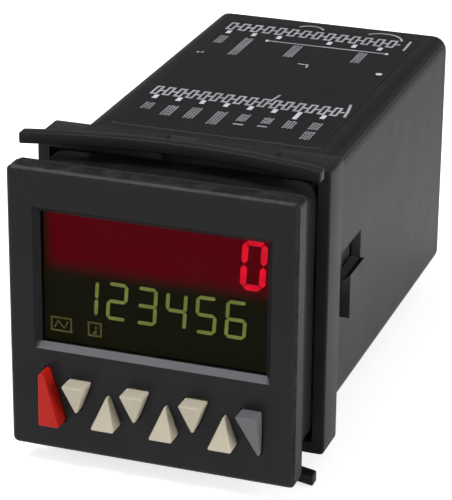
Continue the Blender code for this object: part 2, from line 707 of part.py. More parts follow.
def make_gasket():
    """Flat rubber ring that seals the bezel against the panel."""
    outer = rectangle(BEZEL_SIZE - 2 * GASKET_INSET, BEZEL_SIZE - 2 * GASKET_INSET)
    inner = rectangle(HOUSING_SIZE + 2 * FIT_GAP, HOUSING_SIZE + 2 * FIT_GAP)
    front = BEZEL_THICKNESS + FIT_GAP
    back = front + GASKET_THICKNESS
    body = prism(rounded(outer, BEZEL_CORNER), "Y", front, back)
    hole = prism(rounded(inner, HOUSING_CORNER, ARC_STEPS), "Y", front - FIT_GAP, back + FIT_GAP)
    return add_piece("panel_gasket", cut(body, hole), "rubber")


def bow(side):
    """Spring bow along X whose ends reach forward: y = ends + sag * (1 - (2 x / length)^2)."""
    bottom = RING_SIZE / 2 + BOW_ABOVE_RING
    ends = BEZEL_THICKNESS + BOW_END_FRONT
    sections = []
    for index in range(BOW_STATIONS + 1):
        share = -math.cos(math.pi * index / BOW_STATIONS)
        x = share * BOW_LENGTH / 2
        front = ends + BOW_SAG * (1 - share * share)
        trim = BOW_END_ROUND if index in (0, BOW_STATIONS) else 0.0
        low, high = bottom + trim, BOW_TOP - trim
        back = front + BOW_DEPTH
        section = [(x, front + trim, low), (x, front + trim, high), (x, back, high), (x, back, low)]
        sections.append([(px, py, side * pz) for px, py, pz in section])
    return loft(sections)


def bow_leg(side):
    """Leg that joins the right half of a bow to the ring."""
    depths = (BOW_LEG_FRONT, RING_FRONT_Y + RING_DEPTH / 4)
    root = RING_SIZE / 2 - LEG_BELOW_RING_TOP
    heights = sorted((side * root, side * (BOW_TOP - BOW_ABOVE_RING)))
    return box((BOW_LEG_INNER, BOW_LEG_OUTER), depths, heights)


def make_clamp_frame():
    """Ring that slides on the housing, with a spring bow above and below it."""
    outer = rounded(rectangle(RING_SIZE, RING_SIZE), RING_CORNER)
    opening = HOUSING_SIZE + 2 * RING_PLAY
    back = RING_FRONT_Y + RING_DEPTH
    body = prism(outer, "Y", RING_FRONT_Y, back)
    hole = prism(rectangle(opening, opening), "Y", RING_FRONT_Y - FIT_GAP, back + FIT_GAP)
    body = cut(body, hole)
    for side in (-1, 1):
        body = unite(body, mirrored_pair(bow_leg(side)))
        body = unite(body, bow(side))
    return add_piece("clamp_frame", body, "housing_plastic")


def make_boards():
    """Display board, signal board, power board and the headers that join them."""
    side = DISPLAY_BOARD_SIZE
    display = block(side, side, 0.0, 0.0, (BOARD_FRONT, BOARD_FRONT + BOARD_THICKNESS))
    pieces = [add_piece("display_board", display, "circuit_board")]
    width = HOUSING_INNER - 2 * FIT_GAP
    ends = (LONG_BOARD_FRONT, LONG_BOARD_REAR)
    header_depth = (LONG_BOARD_FRONT, LONG_BOARD_FRONT + HEADER_DEPTH)
    header_z = BOARD_FACE - FIT_GAP - HEADER_DEPTH / 2
    for label, direction in (("signal", 1), ("power", -1)):
        board = block(width, BOARD_THICKNESS, 0.0, direction * BOARD_OFFSET, ends)
        pieces.append(add_piece(f"{label}_board", board, "circuit_board"))
        header = block(HEADER_SHARE * HOUSING_INNER, HEADER_DEPTH, 0.0, direction * header_z, header_depth)
        pieces.append(add_piece(f"{label}_header", header, "component"))
    return pieces


def make_components():
    """Microcontroller, relays, transformer and filter capacitor on the two long boards."""
    seat = BOARD_FACE - FIT_GAP
    chip_front = LONG_BOARD_FRONT + CHIP_SHARE * (LONG_BOARD_REAR - LONG_BOARD_FRONT)
    chip_depth = (chip_front, chip_front + CHIP_SIZE)
    chip = block(CHIP_SIZE, CHIP_HEIGHT, 0.0, seat - CHIP_HEIGHT / 2, chip_depth)
    pieces = [add_piece("microcontroller", chip, "component")]

    relay_front = SOCKET_FRONT - RELAY_CLEARANCE - RELAY_LENGTH
    relay_depth = (relay_front, relay_front + RELAY_LENGTH)
    relay_z = RELAY_HEIGHT / 2 - seat
    for name, side in (("relay_left", -1), ("relay_right", 1)):
        relay_x = side * RELAY_SPACING_SHARE * HOUSING_INNER / 2
        relay = block(RELAY_SHARE * HOUSING_INNER, RELAY_HEIGHT, relay_x, relay_z, relay_depth)
        pieces.append(add_piece(name, relay, "relay"))

    room = relay_front - LONG_BOARD_FRONT - CAPACITOR_LENGTH
    front = LONG_BOARD_FRONT + POWER_PARTS_SHARE * room
    pieces.append(make_transformer(front, seat))
    can = circle(CAPACITOR_RADIUS, CAPACITOR_X_SHARE * HOUSING_INNER, CAPACITOR_RADIUS - seat)
    can = prism(can, "Y", front, front + CAPACITOR_LENGTH)
    pieces.append(add_piece("filter_capacitor", can, "aluminium"))
    return pieces


def make_transformer(front, seat):
    """Ferrite core with a window on each side and the winding between its legs."""
    depth = (front, front + TRANSFORMER_LENGTH)
    width = TRANSFORMER_SHARE * HOUSING_INNER
    centre_x = TRANSFORMER_X_SHARE * HOUSING_INNER
    centre_z = TRANSFORMER_HEIGHT / 2 - seat
    core = block(width, TRANSFORMER_HEIGHT, centre_x, centre_z, depth)
    inset = TRANSFORMER_WINDOW
    middle = (front + inset, front + TRANSFORMER_LENGTH - inset)
    windows = []
    for side in (-1, 1):
        x = centre_x + side * width / 2
        windows.append(block(inset, TRANSFORMER_HEIGHT - 2 * inset, x, centre_z, middle))
    return add_piece("transformer", cut(core, joined(windows)), "ferrite")


def make_rear_cover():
    """Plate that closes the housing, with an opening for each plug and four snap tongues."""
    size = HOUSING_INNER - 2 * FIT_GAP
    outline = rounded(rectangle(size, size), HOUSING_CORNER - HOUSING_WALL)
    body = prism(outline, "Y", COVER_FRONT, HOUSING_REAR)
    through = (COVER_FRONT - FIT_GAP, HOUSING_REAR + FIT_GAP)
    openings = []
    for poles, pitch, height, centre_z in terminal_rows():
        opening_width = poles * pitch + 2 * FIT_GAP
        openings.append(block(opening_width, height + 2 * FIT_GAP, 0.0, centre_z, through))
    body = cut(body, joined(openings))
    body = unite(body, snap_tongues(COVER_FRONT, -1))
    return add_piece("rear_cover", body, "housing_plastic")


def terminal_rows():
    """Poles, pitch, height and middle of the two rows of terminals."""
    return [
        (SIGNAL_POLES, SIGNAL_PITCH, SIGNAL_HEIGHT, SIGNAL_CENTRE_Z),
        (POWER_POLES, POWER_PITCH, POWER_HEIGHT, POWER_CENTRE_Z),
    ]


def pole_positions(poles, pitch):
    return [pitch * (index - (poles - 1) / 2) for index in range(poles)]


def make_terminals():
    """Sockets on the boards, the plugs in them, and one clamping screw for each pole."""
    pieces = []
    names = ("signal", "power")
    radii = (SIGNAL_SCREW_RADIUS, POWER_SCREW_RADIUS)
    for name, radius, row in zip(names, radii, terminal_rows()):
        pieces += make_terminal_row(name, radius, *row)
    return pieces


def make_terminal_row(name, radius, poles, pitch, height, centre_z):
    width = poles * pitch
    wall = 2 * (FIT_GAP + SOCKET_WALL)
    socket_depth = (SOCKET_FRONT, LONG_BOARD_REAR)
    socket = block(width + wall, height + wall, 0.0, centre_z, socket_depth)
    room = (SOCKET_FRONT + SOCKET_FLOOR, LONG_BOARD_REAR + FIT_GAP)
    socket = cut(socket, block(width + 2 * FIT_GAP, height + 2 * FIT_GAP, 0.0, centre_z, room))
    pieces = [add_piece(f"{name}_socket", socket, "terminal")]

    entry = WIRE_ENTRY_SHARE * pitch
    screw_z = centre_z + height / 4
    entry_z = centre_z - height / 4
    bore = (PLUG_REAR - SCREW_SUNK - SCREW_LENGTH - FIT_GAP, PLUG_REAR + FIT_GAP)
    entry_depth = (PLUG_REAR - WIRE_ENTRY_DEPTH, PLUG_REAR + FIT_GAP)
    holes = []
    for x in pole_positions(poles, pitch):
        holes.append(prism(circle(radius + FIT_GAP, x, screw_z), "Y", *bore))
        holes.append(block(entry, min(entry, height / 2 - FIT_GAP * 2), x, entry_z, entry_depth))
    plug = cut(block(width, height, 0.0, centre_z, (PLUG_FRONT, PLUG_REAR)), joined(holes))
    pieces.append(add_piece(f"{name}_plug", plug, "terminal"))

    screw = screw_mesh(radius)
    rear = PLUG_REAR - SCREW_SUNK
    for index, x in enumerate(pole_positions(poles, pitch)):
        location = (x, rear, screw_z)
        pieces.append(add_piece(f"{name}_screw_{index + 1}", screw.copy(), "steel", location))
    return pieces


def screw_mesh(radius):
    """Slotted screw whose head faces back and lies at the mesh's own origin."""
    body = prism(circle(radius, 0.0, 0.0), "Y", -SCREW_LENGTH, 0.0)
    slot_depth = (-SCREW_SLOT_DEPTH, FIT_GAP)
    slot = block(3 * radius, SCREW_SLOT_WIDTH, 0.0, 0.0, slot_depth)
    return cut(body, slot)


def main():
    remove_everything()
    pieces = [make_bezel(), make_keypad_mat(), make_housing(), make_label(), make_gasket()]
    pieces += [make_key(*key) for key in key_table()]
    pieces += make_display()
    pieces += make_boards()
    pieces += make_components()
    pieces += make_terminals()
    pieces += [make_rear_cover(), make_clamp_frame()]

    carrier = bpy.data.objects.new("counter_axes", None)
    bpy.context.collection.objects.link(carrier)
    carrier.location = (0.0, (KEY_RAISE - PLUG_REAR) / 2, BOW_TOP)
    for piece in pieces:
        piece.parent = carrier


main()
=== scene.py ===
# %% [markdown]
# # A panel counter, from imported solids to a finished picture
# The CAD model gives every solid of the counter its true place. This lesson keeps those
# places and adds what solids alone don't have: smooth keys, lit figures, the print on the
# label, and a material for each finish. Everything is measured in metres, in the frame of
# the CAD model.

# %% Load the frame
import math

import bpy
import numpy as np
from mathutils import Matrix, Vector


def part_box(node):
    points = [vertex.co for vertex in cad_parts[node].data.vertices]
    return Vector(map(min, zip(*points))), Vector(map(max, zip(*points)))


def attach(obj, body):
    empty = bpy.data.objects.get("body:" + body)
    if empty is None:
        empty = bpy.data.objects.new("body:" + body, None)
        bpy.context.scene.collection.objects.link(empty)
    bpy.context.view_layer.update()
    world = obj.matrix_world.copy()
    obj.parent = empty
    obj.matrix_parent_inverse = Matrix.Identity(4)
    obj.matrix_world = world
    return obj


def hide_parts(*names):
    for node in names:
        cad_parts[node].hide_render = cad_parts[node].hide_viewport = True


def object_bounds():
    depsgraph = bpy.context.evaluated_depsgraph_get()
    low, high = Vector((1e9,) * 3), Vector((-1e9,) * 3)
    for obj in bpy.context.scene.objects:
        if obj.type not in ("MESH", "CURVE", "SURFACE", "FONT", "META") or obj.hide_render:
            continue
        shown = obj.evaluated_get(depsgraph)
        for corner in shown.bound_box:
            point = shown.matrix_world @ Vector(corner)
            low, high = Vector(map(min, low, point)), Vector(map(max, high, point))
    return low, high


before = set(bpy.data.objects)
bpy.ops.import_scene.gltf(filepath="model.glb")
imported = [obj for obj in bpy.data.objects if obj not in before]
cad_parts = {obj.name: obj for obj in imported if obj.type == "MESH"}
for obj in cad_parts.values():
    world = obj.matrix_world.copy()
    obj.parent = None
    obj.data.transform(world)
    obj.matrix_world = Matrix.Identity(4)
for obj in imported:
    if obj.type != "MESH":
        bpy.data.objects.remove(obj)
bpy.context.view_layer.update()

# %% [markdown]
# ## The counter's own axes
# A panel instrument is drawn from its front face: X to the right, Y back through the panel,
# Z up from the middle line. Sizes on a drawing are in millimetres. One function turns such
# numbers into places in the frame, so that every later cell can use drawing sizes. Where
# the face lies is read from the bezel's box, so nothing has to be fitted by eye.

# %% From drawing sizes to the frame
MM = 0.001
bezel_low, bezel_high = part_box("front_bezel")
FACE_Y = bezel_low.y
MIDDLE_Z = (bezel_low.z + bezel_high.z) / 2
START = {"X": 0.0, "Y": FACE_Y, "Z": MIDDLE_Z}


def placed(points):
    """Millimetres on the counter's axes to metres in the frame: p * 0.001 + (0, face, middle)."""
    return np.asarray(points, float) * MM + tuple(START.values())


def drawn(point):
    """The way back: metres in the frame to millimetres on the counter's axes."""
    return (np.array(point) - tuple(START.values())) / MM


glass_front = drawn(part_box("display_glass")[0])[1]
label_top = drawn(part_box("wiring_label")[1])[2]
print("glass at", round(glass_front, 2), "mm, label at", round(label_top, 2), "mm")

# %% [markdown]
# ## Camera first
# The viewing angle decides which surfaces matter, so the camera comes before any shape. The
# edges of the bezel and of the housing in the photograph were matched to their real sizes,
# and that gives the place, the turn and the focal length below. A long lens from a third of
# a metre keeps the sides of the small box nearly parallel.

# %% Camera
AZIMUTH, ELEVATION, ROLL = (math.radians(angle) for angle in (19.221, 22.594, 0.552))
CAMERA_PLACE = (125.597, -324.822, 158.116)
FOCAL_IN_PIXELS = 2451.558
IMAGE_HEIGHT = 500


def added(name, data):
    """A new object in the scene."""
    made = bpy.data.objects.new(name, data)
    bpy.context.scene.collection.objects.link(made)
    return made


def camera_turn(azimuth, elevation, roll):
    """Right, up and back of a camera as the columns of a matrix.

    back points from the object to the camera, right lies level, up stands on both, and the
    roll turns right and up about back.
    """
    back = np.array([
        math.sin(azimuth) * math.cos(elevation),
        -math.cos(azimuth) * math.cos(elevation),
        math.sin(elevation),
    ])
    right = np.cross(-back, (0.0, 0.0, 1.0))
    right /= np.linalg.norm(right)
    up = np.cross(right, -back)
    rolled_right = math.cos(roll) * right + math.sin(roll) * up
    rolled_up = math.cos(roll) * up - math.sin(roll) * right
    return np.column_stack([rolled_right, rolled_up, back])


camera_data = bpy.data.cameras.new("camera")
camera = added("camera", camera_data)
camera_data.sensor_width = 36.0
camera_data.lens = FOCAL_IN_PIXELS * camera_data.sensor_width / IMAGE_HEIGHT
camera_data.clip_start = 0.01
camera_data.clip_end = 20.0
matrix = np.eye(4)
matrix[:3, :3] = camera_turn(AZIMUTH, ELEVATION, ROLL)
matrix[:3, 3] = placed(CAMERA_PLACE)
camera.matrix_world = Matrix(matrix.tolist())
bpy.context.scene.camera = camera
bpy.context.scene.view_settings.view_transform = "Standard"
print("lens", round(camera_data.lens, 1), "mm")

# %% [markdown]
# ## Skins through rings
# Nearly every new piece here is a stack of rings: a row of points for each height, joined
# to the next row by quads and closed at both ends. numpy computes the points of all rings
# at once. The sign of the enclosed volume tells whether the faces point out or in, and the
# faces are turned where it is negative.

# %% Closed skins
def solid_object(name, shape, material, body="case", smooth=0.0):
    """A mesh object from a skin in millimetres, whose faces point outwards, riding on a body.

    The enclosed volume is the sum over the triangles of a . (b x c) / 6.
    """
    points, faces = shape
    points = placed(points)
    fans = np.array([(f[0], f[i], f[i + 1]) for f in faces for i in range(1, len(f) - 1)])
    middle = points.mean(axis=0)
    a, b, c = (points[fans[:, k]] - middle for k in range(3))
    if np.einsum("ij,ij->", a, np.cross(b, c)) < 0:
        faces = [face[::-1] for face in faces]
    mesh = bpy.data.meshes.new(name)
    mesh.from_pydata(points.tolist(), [], faces)
    mesh.validate()
    if smooth:
        mesh.shade_smooth()
        mesh.set_sharp_from_angle(angle=smooth)
    mesh.materials.append(material)
    piece = added(name, mesh)
    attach(piece, body)
    return piece


def skin(rings):
    """Points and faces of a closed skin: rings[i, j] is point j of ring i, and i + 1 joins on i."""
    rings = np.asarray(rings, float)
    rows, columns = rings.shape[:2]
    index = np.arange(rows * columns).reshape(rows, columns)
    after = np.roll(index, -1, axis=1)
    sides = np.stack([index[:-1], after[:-1], after[1:], index[1:]], axis=-1).reshape(-1, 4)
    return rings.reshape(-1, 3), sides.tolist() + [index[0, ::-1].tolist(), index[-1].tolist()]


def at_depth(outline, depth):
    """An outline in X and Z at one depth, or with a depth for each point."""
    return np.column_stack([outline[:, 0], np.broadcast_to(depth, len(outline)), outline[:, 1]])


def at_height(outline, height):
    """An outline in X and Y at one height."""
    return np.column_stack([outline, np.full(len(outline), height)])


def gathered(parts):
    """Points and faces of several skins in one list."""
    points, faces, start = [], [], 0
    for some_points, some_faces in parts:
        points.append(some_points)
        faces += [[start + corner for corner in face] for face in some_faces]
        start += len(some_points)
    return np.concatenate(points), faces


print("skins ready")

# %% [markdown]
# ## Flat shapes with a thickness
# Ink on a label and the segments of a display are flat shapes. Each is made as a real, very
# thin slab, so that it has edges, casts no odd shadows and keeps its place in any view. A
# stroke is a path with a width: its outline runs along one side and back along the other.

# %% Slabs, strokes, dots and bars
INK_STEPS = 12


def slab(outline, low, high, across="Y"):
    """A flat outline given a thickness from low to high along the axis named by across.

    Along Y the outline's two numbers are X and Z, along Z they are X and Y. Outlines that run
    clockwise are turned round, so that gathered slabs agree.
    """
    x, y = outline.T
    if np.sum(x * np.roll(y, -1) - np.roll(x, -1) * y) < 0:
        outline = outline[::-1]
    layer = at_depth if across == "Y" else at_height
    return skin([layer(outline, level) for level in (low, high)])


def stroke(path, width):
    """Outline of a line of constant width: p + n w / 2 along the path, and p - n w / 2 back."""
    path = np.asarray(path, float)
    along = np.gradient(path, axis=0)
    along /= np.linalg.norm(along, axis=1, keepdims=True)
    normal = np.column_stack([-along[:, 1], along[:, 0]]) * width / 2
    return np.concatenate([path + normal, (path - normal)[::-1]])


def bar(x_low, x_high, y_low, y_high):
    """Outline of a rectangle."""
    return np.array([(x_low, y_low), (x_high, y_low), (x_high, y_high), (x_low, y_high)])


def arc(x, y, radius, start, end, steps=10):
    """Points on part of a circle, angles in degrees: centre + radius (cos t, sin t)."""
    t = np.radians(np.linspace(start, end, steps))
    return np.column_stack([x + radius * np.cos(t), y + radius * np.sin(t)])


def dot(x, y, radius):
    """Outline of a disc."""
    return arc(x, y, radius, 0.0, 360.0 * (1 - 1 / INK_STEPS), INK_STEPS)


print("flat shapes ready")

# %% [markdown]
# ## Node helpers
# A material is a small graph. Short functions keep it readable: one sets or links inputs by
# name, one adds a node, and others stand for what comes back in every material. An effect
# that several finishes share becomes a group, and masks by place take millimetres.

# %% Adding nodes and groups
def fill(tree, sockets, **values):
    """Set or link inputs. Each keyword names one (spaces as _), or in0, in1 for its number."""
    for name, value in values.items():
        numbered = name[:2] == "in" and name[2:].isdigit()
        socket = sockets[int(name[2:]) if numbered else name.replace("_", " ")]
        if isinstance(value, bpy.types.NodeSocket):
            tree.links.new(value, socket)
        else:
            socket.default_value = value


def node(tree, kind, properties=None, **inputs):
    """Add a node and fill its inputs."""
    made = tree.nodes.new(kind)
    for name, value in (properties or {}).items():
        setattr(made, name, value)
    fill(tree, made.inputs, **inputs)
    return made


def maths(tree, operation, a, b=0.0, clamp=False):
    """Output of a Math node."""
    settings = {"operation": operation, "use_clamp": clamp}
    return node(tree, "ShaderNodeMath", settings, in0=a, in1=b).outputs[0]


def product(tree, first, *others):
    """Product of several values or masks."""
    for other in others:
        first = maths(tree, "MULTIPLY", first, other)
    return first


def ramp(tree, value, low, high, to_low=0.0, to_high=1.0):
    """Smooth step: value from low to high becomes to_low to to_high."""
    settings = {"interpolation_type": "SMOOTHSTEP"}
    ends = dict(in0=value, in1=low, in2=high, in3=to_low, in4=to_high)
    return node(tree, "ShaderNodeMapRange", settings, **ends).outputs[0]


def mixed(tree, share, a, b, blend="MIX"):
    """Colour between a and b."""
    settings = {"data_type": "RGBA", "blend_type": blend}
    return node(tree, "ShaderNodeMix", settings, in0=share, in6=a, in7=b).outputs[2]


def noise(tree, where, scale, detail, **more):
    """Grey value of a noise texture."""
    return node(tree, "ShaderNodeTexNoise", Vector=where, Scale=scale, Detail=detail, **more).outputs[0]


def axes_of(tree, vector):
    """X, Y and Z of a vector."""
    return node(tree, "ShaderNodeSeparateXYZ", Vector=vector).outputs


def facing_of(tree):
    """X, Y and Z of the direction in which the surface faces."""
    return axes_of(tree, node(tree, "ShaderNodeNewGeometry").outputs["Normal"])


def along(tree, axis, low, high, to_low=0.0, to_high=1.0):
    """Smooth step along one of the counter's axes, with low and high in millimetres."""
    place = axes_of(tree, node(tree, "ShaderNodeTexCoord").outputs["Object"])[axis]
    return ramp(tree, place, START[axis] + low * MM, START[axis] + high * MM, to_low, to_high)


def stretch(tree, axis, low, high, soft):
    """1 between low and high along one of the counter's axes, with soft ends outside."""
    rise, fall = along(tree, axis, low - soft, low), along(tree, axis, high, high + soft, 1.0, 0.0)
    return maths(tree, "MULTIPLY", rise, fall)


def started(name):
    """A new material, its tree, its shader's inputs and the place on the object."""
    material = bpy.data.materials.new(name)
    material.use_nodes = True
    tree = material.node_tree
    where = node(tree, "ShaderNodeTexCoord").outputs["Object"]
    return material, tree, tree.nodes["Principled BSDF"].inputs, where


def bumped(tree, height, distance, strength=1.0):
    """Normal bent by a height."""
    return node(tree, "ShaderNodeBump", Height=height, Distance=distance, Strength=strength).outputs[0]


def repaint(material, mask, colour):
    """Mix a colour into a material's own, just before it reaches the shader."""
    tree = material.node_tree
    base = tree.nodes["Principled BSDF"].inputs["Base Color"]
    tree.links.new(mixed(tree, mask, base.links[0].from_socket, colour), base)


def group(name, inputs, outputs):
    """An empty node group with its Group Input and Group Output."""
    tree = bpy.data.node_groups.new(name, "ShaderNodeTree")
    for direction, sockets in (("INPUT", inputs), ("OUTPUT", outputs)):
        for socket, kind in sockets.items():
            tree.interface.new_socket(socket, in_out=direction, socket_type="NodeSocket" + kind)
    return tree, tree.nodes.new("NodeGroupInput").outputs, tree.nodes.new("NodeGroupOutput").inputs


def use(tree, shared, **inputs):
    """Outputs of a shared group placed in a material."""
    return node(tree, "ShaderNodeGroup", {"node_tree": shared}, **inputs).outputs


print("node helpers ready")

# %% [markdown]
# ## What moulded plastic has
# A housing like this comes out of a spark-eroded mould: its skin is an even, fine grain of
# about a tenth of a millimetre, with faint clouds where the melt cooled at another rate. The
# group gives a height for the grain, a shade close to 1 and a small shift of the roughness.
# Noise at two sizes does this without any image.

# %% Moulded grain
moulded, given, wanted = group(
    "moulded grain",
    {"Vector": "Vector", "Grain": "Float", "Clouds": "Float"},
    {"Height": "Float", "Shade": "Float", "Roughness Shift": "Float"},
)
fine = noise(moulded, given["Vector"], given["Grain"], 3.0)
clouds = noise(moulded, given["Vector"], 140.0, 4.0)
speck = maths(moulded, "MULTIPLY", maths(moulded, "SUBTRACT", fine, 0.5), given["Clouds"])
cloud = maths(moulded, "MULTIPLY", maths(moulded, "SUBTRACT", clouds, 0.5), given["Clouds"])
shade = maths(moulded, "ADD", maths(moulded, "ADD", speck, cloud), 1.0)
fill(moulded, wanted, Height=fine, Shade=shade, Roughness_Shift=maths(moulded, "MULTIPLY", cloud, 0.4))
print("moulded grain:", len(moulded.nodes), "nodes")

# %% [markdown]
# ## Dust, and rubbed corners with a painted highlight
# Dust settles on what faces up, in a thin broken film. Handling rubs the outer edges of a
# front plate, and they are painted a little lighter: wear, and a painted highlight along the
# edges as well. The first mask reads the surface's own direction, the second how close a point
# lies to the sides and to the front of the plate.

# %% Dust, and edge wear with a painted highlight
settled, given, wanted = group("settled dust", {"Vector": "Vector", "Amount": "Float"}, {"Mask": "Float"})
patches = noise(settled, given["Vector"], 320.0, 6.0, Roughness=0.7)
upward = ramp(settled, facing_of(settled)["Z"], 0.6, 0.98)
fill(settled, wanted, Mask=product(settled, upward, ramp(settled, patches, 0.42, 0.7), given["Amount"]))

# Lighter outer edges of the front plate: wear, and a painted highlight along the edges.
rubbed_and_highlit, given, wanted = group(
    "rubbed edges",
    {"Vector": "Vector", "Half Size": "Float", "Width": "Float"},
    {"Mask": "Float"},
)
place = axes_of(rubbed_and_highlit, given["Vector"])
limit = maths(rubbed_and_highlit, "SUBTRACT", given["Half Size"], given["Width"])
out_x, out_z = (maths(rubbed_and_highlit, "ABSOLUTE", place[axis]) for axis in "XZ")
near = ramp(rubbed_and_highlit, maths(rubbed_and_highlit, "MAXIMUM", out_x, out_z), limit, given["Half Size"])
front = ramp(rubbed_and_highlit, place["Y"], FACE_Y + 0.35 * MM, FACE_Y + 1.0 * MM, 1.0, 0.0)
broken = ramp(rubbed_and_highlit, noise(rubbed_and_highlit, given["Vector"], 900.0, 5.0), 0.35, 0.62)
fill(rubbed_and_highlit, wanted, Mask=product(rubbed_and_highlit, near, front, broken))
print("two masks ready")

# %% [markdown]
# ## One recipe for the plastics
# The same recipe serves every moulded part, each with its own colour, gloss and grain. The
# specular level of the black parts is low, because their skin is matt: seen from the front
# they look black, and only at a flat angle do they take on the light of the floor.

# %% Plastic finishes
DUST = (0.34, 0.33, 0.31, 1.0)
RUBBED_AND_HIGHLIT_WIDTH = 1.1 * MM


def plastic(name, colour, roughness, level=0.5, grain=7000.0, depth=0.00001, clouds=0.3, dust=0.0,
            rubbed_and_highlit_half=0.0):
    """Moulded plastic: grain in bump, shade and roughness, with dust, and edges painted lighter as wear and
    highlight, on top.
    """
    material, tree, shader, where = started(name)
    skin_of = use(tree, moulded, Vector=where, Grain=grain, Clouds=clouds)
    shade = node(tree, "ShaderNodeCombineColor", Red=skin_of["Shade"], Green=skin_of["Shade"],
                 Blue=skin_of["Shade"]).outputs[0]
    tint = mixed(tree, 1.0, (*colour, 1.0), shade, "MULTIPLY")
    # Edges painted lighter: wear, and a painted highlight.
    if rubbed_and_highlit_half:
        centred = node(tree, "ShaderNodeMapping", Vector=where, Location=(0.0, 0.0, -MIDDLE_Z)).outputs[0]
        worn_and_highlit = use(tree, rubbed_and_highlit, Vector=centred, Half_Size=rubbed_and_highlit_half, Width=RUBBED_AND_HIGHLIT_WIDTH)
        lighter = tuple(part * 1.6 + 0.006 for part in colour)
        tint = mixed(tree, worn_and_highlit["Mask"], tint, (*lighter, 1.0))
    if dust:
        tint = mixed(tree, use(tree, settled, Vector=where, Amount=dust)["Mask"], tint, DUST)
    rough = maths(tree, "ADD", skin_of["Roughness Shift"], roughness, clamp=True)
    fill(tree, shader, Base_Color=tint, Roughness=rough, Specular_IOR_Level=level,
         Normal=bumped(tree, skin_of["Height"], depth, 0.6))
    return material


FRONT_LEVEL, FRONT_SIDE_LEVEL = 0.14, 0.06
black_front = plastic("black front plastic", (0.0145, 0.014, 0.015), 0.34, level=FRONT_LEVEL,
                      rubbed_and_highlit_half=0.024, dust=0.09)
black_housing = plastic("black housing plastic", (0.0125, 0.012, 0.0125), 0.42, level=0.16, dust=0.02)
black_clamp = plastic("black clamp plastic", (0.018, 0.0175, 0.018), 0.4, level=0.115, dust=0.02)
red_key = plastic("red key plastic", (0.5, 0.014, 0.009), 0.38, level=0.2, grain=9000.0, clouds=0.08)
cream_key = plastic("cream key plastic", (0.56, 0.508, 0.395), 0.42, level=0.28, grain=9000.0, clouds=0.06)
grey_key = plastic("grey key plastic", (0.145, 0.142, 0.152), 0.42, level=0.3, grain=9000.0, clouds=0.1)
green_terminal = plastic("green terminal plastic", (0.02, 0.17, 0.07), 0.45, clouds=0.2)
milky_guide = plastic("milky guide plastic", (0.72, 0.72, 0.69), 0.35, clouds=0.1)
orange_relay = plastic("orange relay plastic", (0.72, 0.3, 0.05), 0.35, clouds=0.15)
chip_epoxy = plastic("chip epoxy", (0.02, 0.02, 0.022), 0.55, grain=5000.0, clouds=0.3)
soft_rubber = plastic("black rubber", (0.02, 0.02, 0.02), 0.8, level=0.25, grain=4000.0, clouds=0.4)
silicone = plastic("grey silicone", (0.33, 0.34, 0.34), 0.65, grain=4000.0, clouds=0.15)
ferrite = plastic("sintered ferrite", (0.045, 0.045, 0.05), 0.6, grain=3000.0, clouds=0.6)
carrier = plastic("inner carrier plastic", (0.05, 0.043, 0.048), 0.5, level=0.2)
print("plastics ready")

# %% [markdown]
# The window's sill faces up at a slant, and it is painted lighter than the plate: a painted
# highlight that stands in for the light it catches. It is painted by place, with a mask that is 1
# between two heights and between two depths. The plate's sides shine less than its front, which
# is polished by use.

# %% Painted highlight on the window's sill
WINDOW_BOTTOM, WINDOW_HALF_WIDTH = -5.6, 18.8
SILL_FALL, SILL_Y, SILL_SOFT = 0.97, (0.05, 1.1), 0.03

tree = black_front.node_tree
sill_highlight = product(tree, stretch(tree, "Z", WINDOW_BOTTOM - SILL_FALL, WINDOW_BOTTOM, SILL_SOFT),
               stretch(tree, "Y", *SILL_Y, SILL_SOFT),
               stretch(tree, "X", -WINDOW_HALF_WIDTH, WINDOW_HALF_WIDTH, 1.0))
# The sill's lighter colour is a painted highlight, not dust.
repaint(black_front, sill_highlight, (0.125, 0.118, 0.131, 1.0))
sideways = maths(tree, "ABSOLUTE", facing_of(tree)["X"])
gloss = ramp(tree, sideways, 0.3, 0.6, FRONT_LEVEL, FRONT_SIDE_LEVEL)
fill(tree, tree.nodes["Principled BSDF"].inputs, Specular_IOR_Level=gloss)
print("sill at", WINDOW_BOTTOM, "mm")

# %% [markdown]
# ## Metals, boards and the label's film
# The screws are turned and nickel plated, so fine rings follow the lathe. The circuit boards
# carry a green lacquer over copper tracks: thin lines on a grid, a little lighter where
# copper lies underneath. The wiring label is a printed film, smoother than the plastic
# around it, with a faint waviness that breaks up its gloss.

# %% Metal
def metal(name, colour, roughness, streaks):
    """Metal with fine streaks: noise stretched along one axis moves the roughness and the bump."""
    material, tree, shader, where = started(name)
    stretched = node(tree, "ShaderNodeMapping", Vector=where, Scale=streaks).outputs[0]
    streak = noise(tree, stretched, 1.0, 4.0)
    darker = tuple(part * 0.75 for part in colour)
    tint = mixed(tree, ramp(tree, streak, 0.3, 0.7), (*darker, 1.0), (*colour, 1.0))
    rough = ramp(tree, streak, 0.3, 0.7, roughness - 0.08, roughness + 0.1)
    fill(tree, shader, Base_Color=tint, Roughness=rough, Metallic=1.0,
         Normal=bumped(tree, streak, 0.000006, 0.5))
    return material


nickel = metal("nickel plated steel", (0.62, 0.61, 0.58), 0.3, (9000.0, 600.0, 9000.0))
tinned = metal("tinned brass", (0.6, 0.56, 0.46), 0.35, (5000.0, 400.0, 5000.0))
sleeve = metal("aluminium can", (0.6, 0.6, 0.62), 0.35, (600.0, 6000.0, 600.0))


